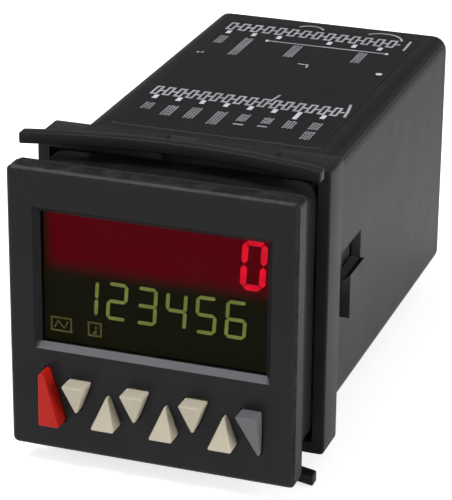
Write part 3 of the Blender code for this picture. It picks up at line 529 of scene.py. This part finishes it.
# %% Lacquered board
def lacquered_board():
    """Green lacquer over tracks: patches of lines along the board and patches of lines across it."""
    material, tree, shader, where = started("green circuit board")
    axes = axes_of(tree, where)
    lines = []
    for axis, pitch in (("X", 2.54 * MM), ("Y", 3.81 * MM)):
        turns = maths(tree, "MULTIPLY", axes[axis], 2 * math.pi / pitch)
        lines.append(ramp(tree, maths(tree, "COSINE", turns), 0.75, 0.9))
    chosen = ramp(tree, noise(tree, where, 170.0, 1.0), 0.49, 0.51)
    copper = maths(tree, "MAXIMUM", product(tree, lines[0], chosen),
                   product(tree, lines[1], maths(tree, "SUBTRACT", 1.0, chosen)))
    tint = mixed(tree, copper, (0.012, 0.1, 0.04, 1.0), (0.05, 0.22, 0.08, 1.0))
    fill(tree, shader, Base_Color=tint, Roughness=0.35, Normal=bumped(tree, copper, 0.00003))
    return material


board_lacquer = lacquered_board()
label_film = plastic("label film", (0.0075, 0.007, 0.008), 0.42, level=0.2, grain=2500.0,
                     depth=0.000004, clouds=0.25, dust=0.012)
# The film's edge is painted lighter: a painted highlight.
film_edge_highlight = plastic("label film edge", (0.05, 0.047, 0.052), 0.35, level=0.2, grain=2500.0, clouds=0.2)
ink = plastic("label ink", (0.68, 0.66, 0.72), 0.6, level=0.3, grain=9000.0, clouds=0.3)
line_ink = plastic("label line ink", (0.4, 0.385, 0.41), 0.6, level=0.3, grain=6000.0, clouds=0.9)
small_ink = plastic("small print ink", (0.34, 0.325, 0.35), 0.6, level=0.3, grain=5200.0, clouds=1.1)
print("metals, board and label ready")

# %% [markdown]
# ## A display that lights up
# A backlit display is a dark glass in which the lit parts glow. The upper row has a red
# field behind it that ends in a soft edge, the lower row is almost black. Both are painted
# by height on the glass, as emission, because they give light and don't only reflect it.
# The figures themselves are separate shapes in front of the field.

# %% Display glass, window pane and lit figures
FIELD_EDGE, FIELD_TOP, FIELD_LEFT = (5.3, 8.9), (16.1, 16.7), (-19.4, -16.9)


def display_face():
    """Red field above, near black below, with a soft edge between the two and at the left."""
    material, tree, shader, where = started("display field")
    above, inside = along(tree, "Z", *FIELD_EDGE), along(tree, "X", *FIELD_LEFT)
    below_top = along(tree, "Z", *FIELD_TOP, 1.0, 0.15)
    level = ramp(tree, noise(tree, where, 130.0, 3.0), 0.2, 0.8, 0.86, 1.12)
    strength = product(tree, above, inside, below_top, level)
    tint = mixed(tree, strength, (0.006, 0.0058, 0.0022, 1.0), (0.084, 0.0, 0.0022, 1.0))
    fill(tree, shader, Emission_Color=tint, Emission_Strength=1.0, Base_Color=(0.001, 0.001, 0.001, 1.0),
         Roughness=0.3, Specular_IOR_Level=0.01)
    return material


def glowing(name, colour):
    """A lit segment: its colour with a slight unevenness along it."""
    material, tree, shader, where = started(name)
    darker = tuple(part * 0.8 for part in colour)
    cloud = ramp(tree, noise(tree, where, 700.0, 2.0), 0.35, 0.65)
    tint = mixed(tree, cloud, (*darker, 1.0), (*colour, 1.0))
    fill(tree, shader, Emission_Color=tint, Emission_Strength=1.0, Base_Color=(0.002, 0.002, 0.002, 1.0),
         Roughness=0.4, Specular_IOR_Level=0.03)
    return material


def smoked_pane():
    """Clear pane with a faint grey tint, whose coating reflects little: hence the low IOR."""
    material, tree, shader, where = started("smoked pane")
    haze = ramp(tree, noise(tree, where, 260.0, 3.0), 0.3, 0.7, 0.02, 0.05)
    fill(tree, shader, Base_Color=(0.95, 0.94, 0.94, 1.0), Roughness=haze, Transmission_Weight=1.0,
         IOR=1.04)
    return material


display_field = display_face()
window_pane = smoked_pane()
red_light = glowing("lit red figure", (0.8, 0.005, 0.026))
green_light = glowing("lit green figure", (0.165, 0.205, 0.044))
dim_light = glowing("dim sign", (0.074, 0.077, 0.02))
print("display ready")

# %% [markdown]
# ## Seven-segment figures
# Every figure of such a display is made of the same seven bars, named a to g. A bar is a
# stretched hexagon, and neighbours meet at their points with a thin gap between them. Each
# figure leans a little to the right. A table of which bars are lit is all that tells a 1
# from an 8, so one function draws any number.

# %% Figures from seven bars
BARS = {
    "a": ((0, 1), (1, 1)), "b": ((1, 1), (1, 0.5)), "c": ((1, 0.5), (1, 0)),
    "d": ((0, 0), (1, 0)), "e": ((0, 0.5), (0, 0)), "f": ((0, 1), (0, 0.5)),
    "g": ((0, 0.5), (1, 0.5)),
}
LIT = {"0": "abcdef", "1": "bc", "2": "abged", "3": "abgcd", "4": "fgbc", "5": "afgcd", "6": "afgedc"}
LEAN = 0.06


def figure(sign, left, bottom, width, height, line):
    """Outlines of a figure's lit bars.

    A bar from p to q along the unit vector d has the corners p + g d, p + (g + h) d +- h n,
    q - (g + h) d +- h n and q - g d, with h half the line and g the gap. Leaning adds
    LEAN * (z - bottom) to x.
    """
    half, gap = line / 2, line * 0.12
    start = np.array([left + half, bottom + half])
    span = np.array([width - line, height - line])
    outlines = []
    for name in LIT[sign]:
        p, q = (start + span * np.array(corner) for corner in BARS[name])
        d = (q - p) / np.linalg.norm(q - p)
        n = np.array([-d[1], d[0]])
        near, far = p + (gap + half) * d, q - (gap + half) * d
        bar_points = np.array([p + gap * d, near - half * n, far - half * n,
                               q - gap * d, far + half * n, near + half * n])
        bar_points[:, 0] += LEAN * (bar_points[:, 1] - bottom)
        outlines.append(bar_points)
    return outlines


RED_LEFT, RED_BOTTOM, RED_WIDTH, RED_HEIGHT, RED_LINE = 13.7, 7.7, 4.1, 8.5, 1.0
GREEN_LEFT, GREEN_PITCH, GREEN_BOTTOM = -13.45, 4.95, -0.85
GREEN_WIDTH, GREEN_HEIGHT, GREEN_LINE = 3.5, 6.45, 0.56
FIGURE_FRONT, FIGURE_REAR = 0.16, 0.06


def on_glass(outlines):
    """Slabs a hair in front of the display glass."""
    return gathered([slab(outline, glass_front - FIGURE_FRONT, glass_front - FIGURE_REAR)
                     for outline in outlines])


zero = figure("0", RED_LEFT, RED_BOTTOM, RED_WIDTH, RED_HEIGHT, RED_LINE)
solid_object("figures_upper", on_glass(zero), red_light)
count = []
for index, sign in enumerate("123456"):
    left = GREEN_LEFT + GREEN_PITCH * index
    count += figure(sign, left, GREEN_BOTTOM, GREEN_WIDTH, GREEN_HEIGHT, GREEN_LINE)
solid_object("figures_lower", on_glass(count), green_light)
print(len(zero) + len(count), "lit bars")

# %% [markdown]
# Two small signs stand below the figures and are only faintly lit: a framed mark at the left
# edge, and a framed 1. Frames are four bars, which is simpler than cutting a hole.

# %% Dim signs
def framed(x_low, x_high, z_low, z_high, line):
    """Outlines of the four sides of a frame."""
    low, high = z_low + line, z_high - line
    return [bar(x_low, x_high, z_low, low), bar(x_low, x_high, high, z_high),
            bar(x_low, x_low + line, low, high), bar(x_high - line, x_high, low, high)]


SIGN_Z, SIGN_LINE = (-4.25, -1.75), 0.26
signs = framed(-17.95, -14.35, *SIGN_Z, SIGN_LINE) + framed(-11.6, -9.25, *SIGN_Z, SIGN_LINE)
signs += [stroke([(-17.3, -3.6), (-16.75, -2.4), (-15.65, -3.6), (-15.05, -2.4)], 0.27)]
signs += figure("1", -11.5, -3.8, 1.4, 1.6, 0.42) + [bar(-10.8, -10.1, -3.82, -3.55)]
solid_object("signs_dim", on_glass(signs), dim_light)
print(len(signs), "shapes in the two signs")

# %% [markdown]
# ## The sloping keys
# The keys are the most shapely part of the front: triangles whose face falls from the broad
# edge to the tip, with all edges softly rounded. A rounded triangle is three arc centres
# plus a radius in every direction of each arc, so a parallel outline only changes the
# radius. Stacking such outlines gives the flange, the stem and a round front edge, and the
# last rings shrink to the middle over a face that is dished by a few hundredths of a
# millimetre.

# %% Outline of a rounded triangle
ARC_POINTS, EDGE_POINTS = 9, 7


def rounded_triangle(corners, radii):
    """A function that gives the outline at any growth: centre + (radius + growth) * direction.

    A centre lies on the bisector, radius / sin(half the corner's angle) from the corner, and
    the directions sweep from one side's outward normal to the next one's. At the least, an
    arc is a hair wide.
    """
    corners = np.asarray(corners, float)
    before = np.roll(corners, 1, axis=0) - corners
    after = np.roll(corners, -1, axis=0) - corners
    before /= np.linalg.norm(before, axis=1, keepdims=True)
    after /= np.linalg.norm(after, axis=1, keepdims=True)
    half = np.arccos(np.clip(np.sum(before * after, axis=1), -1, 1)) / 2
    bisector = (before + after) / np.linalg.norm(before + after, axis=1, keepdims=True)
    centres = corners + bisector * (radii / np.sin(half))[:, None]
    outward = np.arctan2(-bisector[:, 1], -bisector[:, 0])
    sweep = np.linspace(-1, 1, ARC_POINTS)[None, :] * (math.pi / 2 - half)[:, None]
    turns = outward[:, None] + sweep
    directions = np.stack([np.cos(turns), np.sin(turns)], axis=-1)

    def outline_at(growth):
        reach = np.maximum(radii + growth, 0.01)[:, None, None]
        return (centres[:, None, :] + reach * directions).reshape(-1, 2)

    return outline_at


print("outlines ready")

# %% Key sizes
WINDOW_WIDTH = 37.6
PITCH = 0.131 * WINDOW_WIDTH
ROW_CENTRE, ROW_TOP, ROW_BOTTOM = 0.2, -11.15, -18.0
CREAM_WIDTH, CREAM_LENGTH = 0.82 * PITCH, 5.45
SIDE_WIDTH, SIDE_REACH = 0.71 * PITCH, WINDOW_WIDTH / 2 - 0.52
RED_BROAD, RED_LENGTH, GREY_BROAD, GREY_LENGTH = -18.7, 12.1, -11.45, 8.3
RAISE, CORNER, RED_TIP, EDGE, DISH = 3.1, 0.25, 0.5, 0.22, 0.05
UP_TIP_RAISE, DOWN_TIP_RAISE, RED_TIP_RAISE, GREY_TIP_RAISE = 0.5, 1.7, 2.9, 0.5
FLANGE, FLANGE_BACK, FLANGE_FRONT = 0.7, 2.5, 1.7
FACE_SHARES = (0.82, 0.6, 0.36, 0.12)
KEY_SMOOTH_UP_TO = math.radians(40)


def triangle(start_x, width, broad_z, length, tip_share):
    """Ends of the broad edge and the tip; a negative width or length turns the key over."""
    return [(start_x, broad_z), (start_x + width, broad_z), (start_x + tip_share * width, broad_z + length)]


red_corners = triangle(ROW_CENTRE - SIDE_REACH, SIDE_WIDTH, RED_BROAD, RED_LENGTH, 0.0)
grey_corners = triangle(ROW_CENTRE + SIDE_REACH, -SIDE_WIDTH, GREY_BROAD, -GREY_LENGTH, 0.0)
keys = {
    "key_red": (red_corners, RED_TIP, RED_TIP_RAISE, red_key),
    "key_grey": (grey_corners, CORNER, GREY_TIP_RAISE, grey_key),
}
for index in range(6):
    way = 1 if index % 2 else -1
    start = ROW_CENTRE + PITCH * (index - 2.5) - way * CREAM_WIDTH / 2
    broad, tip_raise = (ROW_BOTTOM, UP_TIP_RAISE) if way > 0 else (ROW_TOP, DOWN_TIP_RAISE)
    corners = triangle(start, way * CREAM_WIDTH, broad, way * CREAM_LENGTH, 0.5)
    keys[f"key_cream_{index + 1}"] = (corners, CORNER, tip_raise, cream_key)
print(len(keys), "keys of pitch", round(PITCH, 2), "mm")

# %% Build the keys
def key_rings(corners, tip_radius, tip_raise):
    """Rings of a key from its flange to the middle of its face, as points (x, y, z).

    The face is y = -(raise + (tip raise - raise) * s), where s is the share of the way from
    the broad edge to the tip. The round edge is inset e (1 - cos t) and set back
    e (1 - sin t) for t from 0 to a quarter turn. On the face, a ring at the share r of the
    way out from the middle is dished by d (1 - r^2).
    """
    outline_at = rounded_triangle(corners, np.array([CORNER, CORNER, tip_radius]))
    broad_z, tip_z = corners[0][1], corners[2][1]

    def face(outline):
        share = (outline[:, 1] - broad_z) / (tip_z - broad_z)
        return -(RAISE + (tip_raise - RAISE) * share)

    wide, stem = outline_at(FLANGE), outline_at(0.0)
    rings = [at_depth(wide, FLANGE_BACK), at_depth(wide, FLANGE_FRONT), at_depth(stem, FLANGE_FRONT)]
    for t in np.linspace(0, math.pi / 2, EDGE_POINTS):
        outline = outline_at(-EDGE * (1 - math.cos(t)))
        rings.append(at_depth(outline, face(outline) + EDGE * (1 - math.sin(t))))
    last = outline_at(-EDGE)
    middle = last.mean(axis=0)
    for share in FACE_SHARES:
        outline = middle + share * (last - middle)
        rings.append(at_depth(outline, face(outline) + DISH * (1 - share ** 2)))
    return rings


for name, (corners, tip_radius, tip_raise, finish) in keys.items():
    shape = skin(key_rings(corners, tip_radius, tip_raise))
    piece = solid_object(name + "_cap", shape, finish, name, KEY_SMOOTH_UP_TO)
    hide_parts(name)
print(len(keys), "key caps built")

# %% [markdown]
# ## The print on the wiring label
# The label on top shows how the terminals are used: a row of contact symbols with a dot for
# each terminal, and small print under the dots. Here the symbols stay simple shapes, and
# each piece of small print becomes a little field of fine bars. Everything is ink of a few
# hundredths of a millimetre on the film, drawn as strokes, dots and bars.

# %% Shapes of the print
LINE, MARK_HALF, BOX_SHARE = 0.4, 0.42, 0.64
FRONT_POLES = np.linspace(-15.7, 14.1, 8)
REAR_POLES = np.array([-16.1, -11.2, -6.4, 3.2, 7.9, 12.7])
FRONT_MARKS_Y, REAR_MARKS_Y, LONG_MARK_Y = (42.5, 44.3), (81.2, 82.9), (40.7, 44.4)
FRONT_BOXES, REAR_BOXES = (-17.3, 15.2, 44.5, 48.8, 2.13), (-17.4, 14.8, 83.5, 87.8, 2.35)
WIRE_ENDS = [(-7.7, 79.5), (14.5, 79.7)]


def contact_row(x_low, x_high, y_low, y_high, step):
    """Outlines of a row of closed boxes, each joined to the next one by a bar at half its length."""
    shapes = []
    width, wide = step * BOX_SHARE, LINE * 1.5
    low = (y_low + y_high - wide) / 2
    for x in np.arange(x_low, x_high, step):
        left, right = x + LINE, x + width - LINE
        shapes += [bar(x, left, y_low, y_high), bar(right, x + width, y_low, y_high),
                   bar(left, right, y_low, y_low + wide), bar(left, right, y_high - wide, y_high),
                   bar(x + width, x + step, low, low + wide)]
    return shapes


def fine_print(x_low, x_high, y_low, y_high, lines):
    """Outlines of small print seen from far away: close bars along Y, in short pieces."""
    shapes = []
    width = (x_high - x_low) / (lines * 1.5 - 0.5)
    for line in range(lines):
        x = x_low + line * width * 1.5
        cuts = np.arange(y_low + 0.15 * (line % 2), y_high - 0.2, 0.5)
        lengths = 0.34 + 0.1 * np.sin(cuts * 7.0 + 2.0 * line)
        shapes += [bar(x, x + width, y, min(y + length, y_high)) for y, length in zip(cuts, lengths)]
    return shapes


LONG_MARK = 6
bold = [bar(x - MARK_HALF, x + MARK_HALF, *FRONT_MARKS_Y) for x in np.delete(FRONT_POLES, LONG_MARK)]
bold += [bar(FRONT_POLES[LONG_MARK] - LINE, FRONT_POLES[LONG_MARK] + LINE, *LONG_MARK_Y)]
bold += [bar(x - MARK_HALF, x + MARK_HALF, *REAR_MARKS_Y) for x in REAR_POLES]
bold += [dot(x, y, 0.5) for x, y in WIRE_ENDS] + [dot(16.5, 68.3, 0.6)]
strokes = [(WIRE_ENDS, LINE), ([(3.3, 47.6), (3.9, 51.6)], LINE),
           ([(17.4, 44.5), (17.1, 48.0), (16.6, 51.0)], 0.5), ([(16.9, 82.6), (16.8, 88.2)], 0.45),
           (arc(-2.6, 88.2, 2.6, 20, 150), 0.45), (arc(11.3, 87.2, 3.9, 10, 140), 0.45),
           ([(1.5, 68.8), (3.3, 68.8), (3.5, 67.2)], LINE)]
lines = contact_row(*FRONT_BOXES) + contact_row(*REAR_BOXES) + [stroke(*line) for line in strokes]
print(len(bold), "marks and", len(lines), "strokes")

# %% Small print and ink
fields = [(-16.1, -14.4, 37.0, 40.3), (-11.9, -10.1, 35.0, 40.0), (-7.8, -6.0, 34.9, 40.4),
          (-3.2, -1.4, 33.5, 40.2), (1.0, 2.6, 36.6, 40.3), (5.2, 6.8, 36.9, 40.0),
          (9.2, 10.9, 36.0, 39.8), (13.4, 15.1, 36.8, 40.3), (13.5, 15.2, 31.9, 35.8),
          (-16.8, -15.2, 75.2, 79.6), (-12.0, -10.4, 69.5, 79.8), (-2.4, -0.7, 71.8, 78.8),
          (9.8, 11.4, 72.8, 78.8)]
small = [shape for field in fields for shape in fine_print(*field, lines=4)]
small += fine_print(-17.6, -16.3, 68.5, 69.5, lines=2)
small += [bar(1.1, 2.9, 34.8, 35.3), bar(5.2, 6.9, 35.2, 35.7)]
INK_BOTTOM, INK_TOP = 0.004, 0.03
ink_layer = (label_top + INK_BOTTOM, label_top + INK_TOP)
for name, shapes, finish in (("print_marks", bold, ink), ("print_lines", lines, line_ink),
                             ("print_small", small, small_ink)):
    solid_object(name, gathered([slab(shape, *ink_layer, across="Z") for shape in shapes]), finish)
    print(name, len(shapes), "shapes")

# %% [markdown]
# ## Frames that close on themselves
# The clear film of the label ends in a thin edge, and a look into a screw terminal
# shows a square metal cage that lifts when its screw turns. Both are frames: rings round an
# opening, where the last ring joins the first one again. A rounded rectangle gives the ring,
# and its radius may be almost nothing. Only the film's front edge is painted as a lighter line,
# a painted highlight where the edge catches the light, so its colour changes with the depth.

# %% Closed frames
def looped(rings):
    """Points and faces of a frame: rings[i, j] is point j of ring i, and the last joins the first."""
    rings = np.asarray(rings, float)
    rows, columns = rings.shape[:2]
    index = np.arange(rows * columns).reshape(rows, columns)
    after, above = np.roll(index, -1, axis=1), np.roll(index, -1, axis=0)
    faces = np.stack([index, after, np.roll(above, -1, axis=1), above], axis=-1).reshape(-1, 4)
    return rings.reshape(-1, 3), faces.tolist()


def rounded_box(width, height, radius, steps=6):
    """Outline of a rectangle about 0 with round corners: arc centre + radius (cos t, sin t)."""
    reach = np.array([width, height]) / 2 - radius
    outline = []
    for quarter, signs in enumerate(((1, 1), (-1, 1), (-1, -1), (1, -1))):
        centre = reach * signs
        start = 90.0 * quarter
        outline.append(arc(centre[0], centre[1], radius, start, start + 90.0, steps))
    return np.concatenate(outline)


label_low, label_high = (drawn(corner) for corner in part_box("wiring_label"))
label_width, label_length, _ = label_high - label_low
label_middle = (label_low + label_high) / 2
RIM = ((0.26, -0.12), (0.22, 0.0), (-0.02, 0.02), (-0.12, 0.004))
rim = []
for growth, level in RIM:
    outline = rounded_box(label_width + 2 * growth, label_length + 2 * growth, 1.0 + growth)
    rim.append(at_height(outline + label_middle[:2], label_top + level))
solid_object("label_film_edge", looped(rim), film_edge_highlight)
# Painted highlight: only the front edge keeps the lighter colour, and the edge behind it is dark.
past_highlight = along(film_edge_highlight.node_tree, "Y", label_low[1] + 0.2, label_low[1] + 1.2)
repaint(film_edge_highlight, past_highlight, (0.009, 0.0085, 0.0095, 1.0))
print("film edge of", len(rim), "rings")

# %% Wire cages
CAGE_SHARE, CAGE_PLAY, CAGE_WALL, CAGE_DEPTH = 0.62, 0.12, 0.28, (6.6, 1.3)
CAGE_CORNER, HALF_HEIGHT_LEFT = 0.02, 0.6


def square_tube(x, z, outer, y_low, y_high):
    """Skin of a short square tube: outer rings along Y, inner rings back."""
    inner = outer - 2 * CAGE_WALL
    ends = ((outer, y_low), (outer, y_high), (inner, y_high), (inner, y_low))
    return looped([at_depth(rounded_box(size, size, CAGE_CORNER, 2) + (x, z), y) for size, y in ends])


for row, poles in (("signal", 8), ("power", 7)):
    low, high = (drawn(corner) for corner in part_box(row + "_plug"))
    width, _, height = high - low
    pitch = width / poles
    entry = min(CAGE_SHARE * pitch, height / 2 - HALF_HEIGHT_LEFT)
    y_range = [high[1] - depth for depth in CAGE_DEPTH]
    tubes = [square_tube(low[0] + pitch * (index + 0.5), low[2] + height / 4, entry - CAGE_PLAY, *y_range)
             for index in range(poles)]
    solid_object(row + "_wire_cages", gathered(tubes), tinned)
    print(row, poles, "cages of", round(entry, 2), "mm")

# %% [markdown]
# ## The clamp frame
# The frame that holds the counter in its panel is a square ring with a spring bow above and
# one below. The bow bends in a parabola: its ends press forward on the panel, its middle is
# held by two legs on the ring. Every edge of a moulded spring is round, and a round edge
# catches a thin line of light, so the ring and the bows are swept from rounded sections.

# %% Ring, bows and legs
RING_HALF, RING_OPENING, RING_Y = 24.6, 45.1, (13.7, 20.5)
BOW_HALF, BOW_Z, BOW_FRONT, BOW_SAG, BOW_DEPTH = 24.9, (24.9, 26.85), 7.0, 3.7, 2.2
LEG_X, LEG_Y, LEG_Z = (2.46, 15.9), (11.0, 15.4), (23.9, 26.55)
ROUND, BOW_STATIONS, BOW_END_INSET = 0.32, 30, 0.3
RING_CORNER, OPENING_CORNER, LEG_CORNER = 0.8, 0.1, 0.25
SMOOTH_UP_TO = math.radians(32)
quarter = np.linspace(0, math.pi / 2, 6)


def ring_frame():
    """Square ring along Y: outline inset by e (1 - sin t) at y + e (1 - cos t) on both outer edges."""
    front, rear = RING_Y
    profile = [(RING_HALF - ROUND * (1 - math.sin(t)), front + ROUND * (1 - math.cos(t)), RING_CORNER)
               for t in quarter]
    profile += [(half, front + rear - y, radius) for half, y, radius in reversed(profile)]
    profile += [(RING_OPENING / 2, y, OPENING_CORNER) for y in (rear, front)]
    return looped([at_depth(rounded_box(2 * half, 2 * half, radius), y) for half, y, radius in profile])


def spring_bow(side):
    """Bow along X: y = front + sag (1 - (x / half)^2), with rounded sections and ends.

    Towards an end the section shrinks by e (1 - cos t) while x moves out by e sin t.
    """
    inner = BOW_HALF - ROUND
    ends = [(inner + ROUND * math.sin(t), ROUND * (1 - math.cos(t))) for t in quarter[:-1]]
    ends.append((BOW_HALF, BOW_END_INSET))
    half_way = [(x, 0.0) for x in inner * np.sin(np.linspace(0, math.pi / 2, BOW_STATIONS))[:-1]]
    right = half_way + ends
    path = [(-x, inset) for x, inset in reversed(right[1:])] + right
    height = BOW_Z[1] - BOW_Z[0]
    rings = []
    for x, inset in path:
        front = BOW_FRONT + BOW_SAG * (1 - (x / BOW_HALF) ** 2)
        section = rounded_box(BOW_DEPTH - 2 * inset, height - 2 * inset, ROUND - inset * 0.9, 5)
        y = section[:, 0] + front + BOW_DEPTH / 2
        z = section[:, 1] + sum(BOW_Z) / 2
        rings.append(np.column_stack([np.full(len(y), x), y, side * z]))
    return skin(rings)


def bow_leg(side, way):
    """Leg between a bow and the ring: a rounded block lifted from low to high."""
    width, depth = LEG_X[1] - LEG_X[0], LEG_Y[1] - LEG_Y[0]
    outline = rounded_box(width, depth, LEG_CORNER) + (way * sum(LEG_X) / 2, sum(LEG_Y) / 2)
    return skin([at_height(outline, side * z) for z in LEG_Z])


parts = [ring_frame()] + [spring_bow(side) for side in (-1, 1)]
parts += [bow_leg(side, way) for side in (-1, 1) for way in (-1, 1)]
clamp = solid_object("clamp_spring_frame", gathered(parts), black_clamp, "clamp", SMOOTH_UP_TO)
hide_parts("clamp_frame")
print("clamp frame of", len(parts), "parts")

# %% [markdown]
# ## Around the side catches
# The opening above each side catch isn't a look into the dark: a short way behind the wall
# lies the inner carrier's side, which catches a little light. One plate behind each opening
# stands for it. The front and top faces of the catches, and the opening's own edges, are
# painted lighter than the wall: painted light, lighter higher up and lightest on faces that look up.

# %% Plates behind the openings, and painted light on the catches
CATCH_Y, CATCH_Z, CATCH_SOFT = (28.9, 40.1), (-6.9, 4.7), 0.1
PLATE_X, PLATE_Y, PLATE_Z = (19.4, 20.3), (28.0, 41.0), (-2.6, 5.6)
for side, name in ((-1, "carrier_side_left"), (1, "carrier_side_right")):
    outline = bar(*PLATE_Y, *PLATE_Z)
    shape = skin([np.column_stack([np.full(4, side * x), outline]) for x in PLATE_X])
    solid_object(name, shape, carrier)

# Painted light: the catches' front and top faces and the opening's edges are painted lighter, more so
# higher up and most on faces that look up.
tree = black_housing.node_tree
facing = facing_of(tree)
not_sideways = ramp(tree, maths(tree, "ABSOLUTE", facing["X"]), 0.4, 0.6, 1.0, 0.0)
painted_light_mask = product(tree, stretch(tree, "Y", *CATCH_Y, CATCH_SOFT), stretch(tree, "Z", *CATCH_Z, CATCH_SOFT),
              not_sideways)
painted_light_tint = mixed(tree, along(tree, "Z", -4.0, 1.2), (0.036, 0.032, 0.035, 1.0), (0.085, 0.075, 0.083, 1.0))
painted_light_tint = mixed(tree, ramp(tree, facing["Z"], 0.3, 0.6), painted_light_tint, (0.16, 0.142, 0.155, 1.0))
repaint(black_housing, painted_light_mask, painted_light_tint)
print("two plates behind the openings")

# %% [markdown]
# ## Finishes on the solids that stay
# Most solids already have the right shape, and only need their finish. A table shows what is
# made of what, inside the housing too.

# %% Assign the finishes
WORN = {
    black_front: ["front_bezel"],
    black_housing: ["housing_shell", "rear_cover"],
    window_pane: ["display_window"],
    display_field: ["display_glass"],
    label_film: ["wiring_label"],
    soft_rubber: ["panel_gasket"],
    silicone: ["keypad_mat", "contact_strip_upper", "contact_strip_lower"],
    milky_guide: ["backlight_guide"],
    board_lacquer: ["display_board", "signal_board", "power_board"],
    chip_epoxy: ["signal_header", "power_header", "microcontroller"],
    orange_relay: ["relay_left", "relay_right"],
    ferrite: ["transformer"],
    sleeve: ["filter_capacitor"],
    green_terminal: ["signal_socket", "power_socket", "signal_plug", "power_plug"],
    nickel: [f"signal_screw_{i + 1}" for i in range(8)] + [f"power_screw_{i + 1}" for i in range(7)],
}
for finish, names in WORN.items():
    for name in names:
        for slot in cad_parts[name].material_slots:
            slot.material = finish
print(sum(len(names) for names in WORN.values()), "solids finished")

# %% [markdown]
# ## Table and light
# The counter stands on a plain white table. Three wide soft lamps light it: one above, one in
# front and one at the right, which fills the walls of the keys. The room overhead is dark
# where a glossy surface looks at it, and keeps the black top black. The table is white by
# its own colour, and light that only the camera sees takes it to the white of the
# background, more so far away. Glossy surfaces also see the table glow, a painted reflection
# that is strongest near the counter, where the counter's shadow lies; this lightens the right side at its
# flat angle.
#
# The lamp in front is weak and stands low: it only fills in the keys whose faces slope
# down. The lamp above stands a little in front of the counter, since one behind the front
# plate couldn't reach the tops of the keys.

# %% Table
TABLE_HALF, TABLE_GAP = 3.0, 0.0002
table_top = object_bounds()[0].z
sheet = bar(-TABLE_HALF, TABLE_HALF, -TABLE_HALF, TABLE_HALF)
table_mesh = bpy.data.meshes.new("table")
table_mesh.from_pydata(at_height(sheet, table_top - TABLE_GAP).tolist(), [], [[0, 1, 2, 3]])
table = added("table", table_mesh)
table_material, tree, shader, where = started("white table")
paper = mixed(tree, noise(tree, where, 40.0, 3.0), (0.9, 0.9, 0.9, 1.0), (0.93, 0.93, 0.93, 1.0))
seen = node(tree, "ShaderNodeLightPath").outputs
mirrored = maths(tree, "MAXIMUM", seen["Is Glossy Ray"], seen["Is Transmission Ray"])
away = node(tree, "ShaderNodeVectorMath", {"operation": "LENGTH"}, in0=where).outputs["Value"]
to_camera = product(tree, seen["Is Camera Ray"], ramp(tree, away, 0.2, 1.2, 0.72, 1.0))
# Painted reflection: glossy rays see the table glow, most near the counter, where its shadow lies on the
# table.
glow_in_reflections = product(tree, mirrored, ramp(tree, away, 0.05, 0.18, 0.38, 0.1))
fill(tree, shader, Base_Color=paper, Roughness=0.9, Specular_IOR_Level=0.1,
     Emission_Color=(1.0, 1.0, 1.0, 1.0), Emission_Strength=maths(tree, "ADD", to_camera, glow_in_reflections))
table_mesh.materials.append(table_material)
print("table at z =", round(table_top, 4))

# %% Room and lamps
world = bpy.data.worlds.new("room")
bpy.context.scene.world = world
world.use_nodes = True
tree = world.node_tree
tree.nodes.clear()
seen = node(tree, "ShaderNodeLightPath").outputs
direction = node(tree, "ShaderNodeTexCoord").outputs["Generated"]
height = axes_of(tree, direction)["Z"]
sweep = mixed(tree, ramp(tree, height, 0.0, 0.22), (1.0, 1.0, 1.0, 1.0), (0.14, 0.135, 0.145, 1.0))
through = maths(tree, "MAXIMUM", seen["Is Camera Ray"], seen["Is Transmission Ray"])
colour = mixed(tree, seen["Is Glossy Ray"], (0.26, 0.26, 0.27, 1.0), sweep)
colour = mixed(tree, through, colour, (1.0, 1.0, 1.0, 1.0))
back = node(tree, "ShaderNodeBackground", Color=colour, Strength=1.0)
node(tree, "ShaderNodeOutputWorld", Surface=back.outputs[0])


LIT_POINT = placed((0.0, 25.0, 0.0))


def soft_lamp(name, place, width, share):
    """Square lamp at a place seen from the lit point. share is how bright a white sheet there gets.

    A lamp of P watts and area A has the radiance P / (pi A), so at a distance d it lights
    such a sheet to P / (pi^2 d^2), and P = share pi^2 d^2.
    """
    distance = np.linalg.norm(place)
    back = np.array(place) / distance
    light = bpy.data.lights.new(name, "AREA")
    light.shape = "SQUARE"
    light.size = width
    light.energy = share * math.pi ** 2 * distance ** 2
    lamp = added(name, light)
    right = np.cross((0.0, 0.0, 1.0), back)
    right /= np.linalg.norm(right)
    turn = np.eye(4)
    turn[:3, :3] = np.column_stack([right, np.cross(back, right), back])
    turn[:3, 3] = LIT_POINT + place
    lamp.matrix_world = Matrix(turn.tolist())


soft_lamp("lamp_front", (-0.2, -0.85, 0.22), 0.6, 0.17)
soft_lamp("lamp_above", (-0.31, -0.2, 0.9), 0.45, 0.66)
soft_lamp("lamp_right", (0.8, -0.1, 0.15), 0.5, 0.66)
print("three lamps and a room")
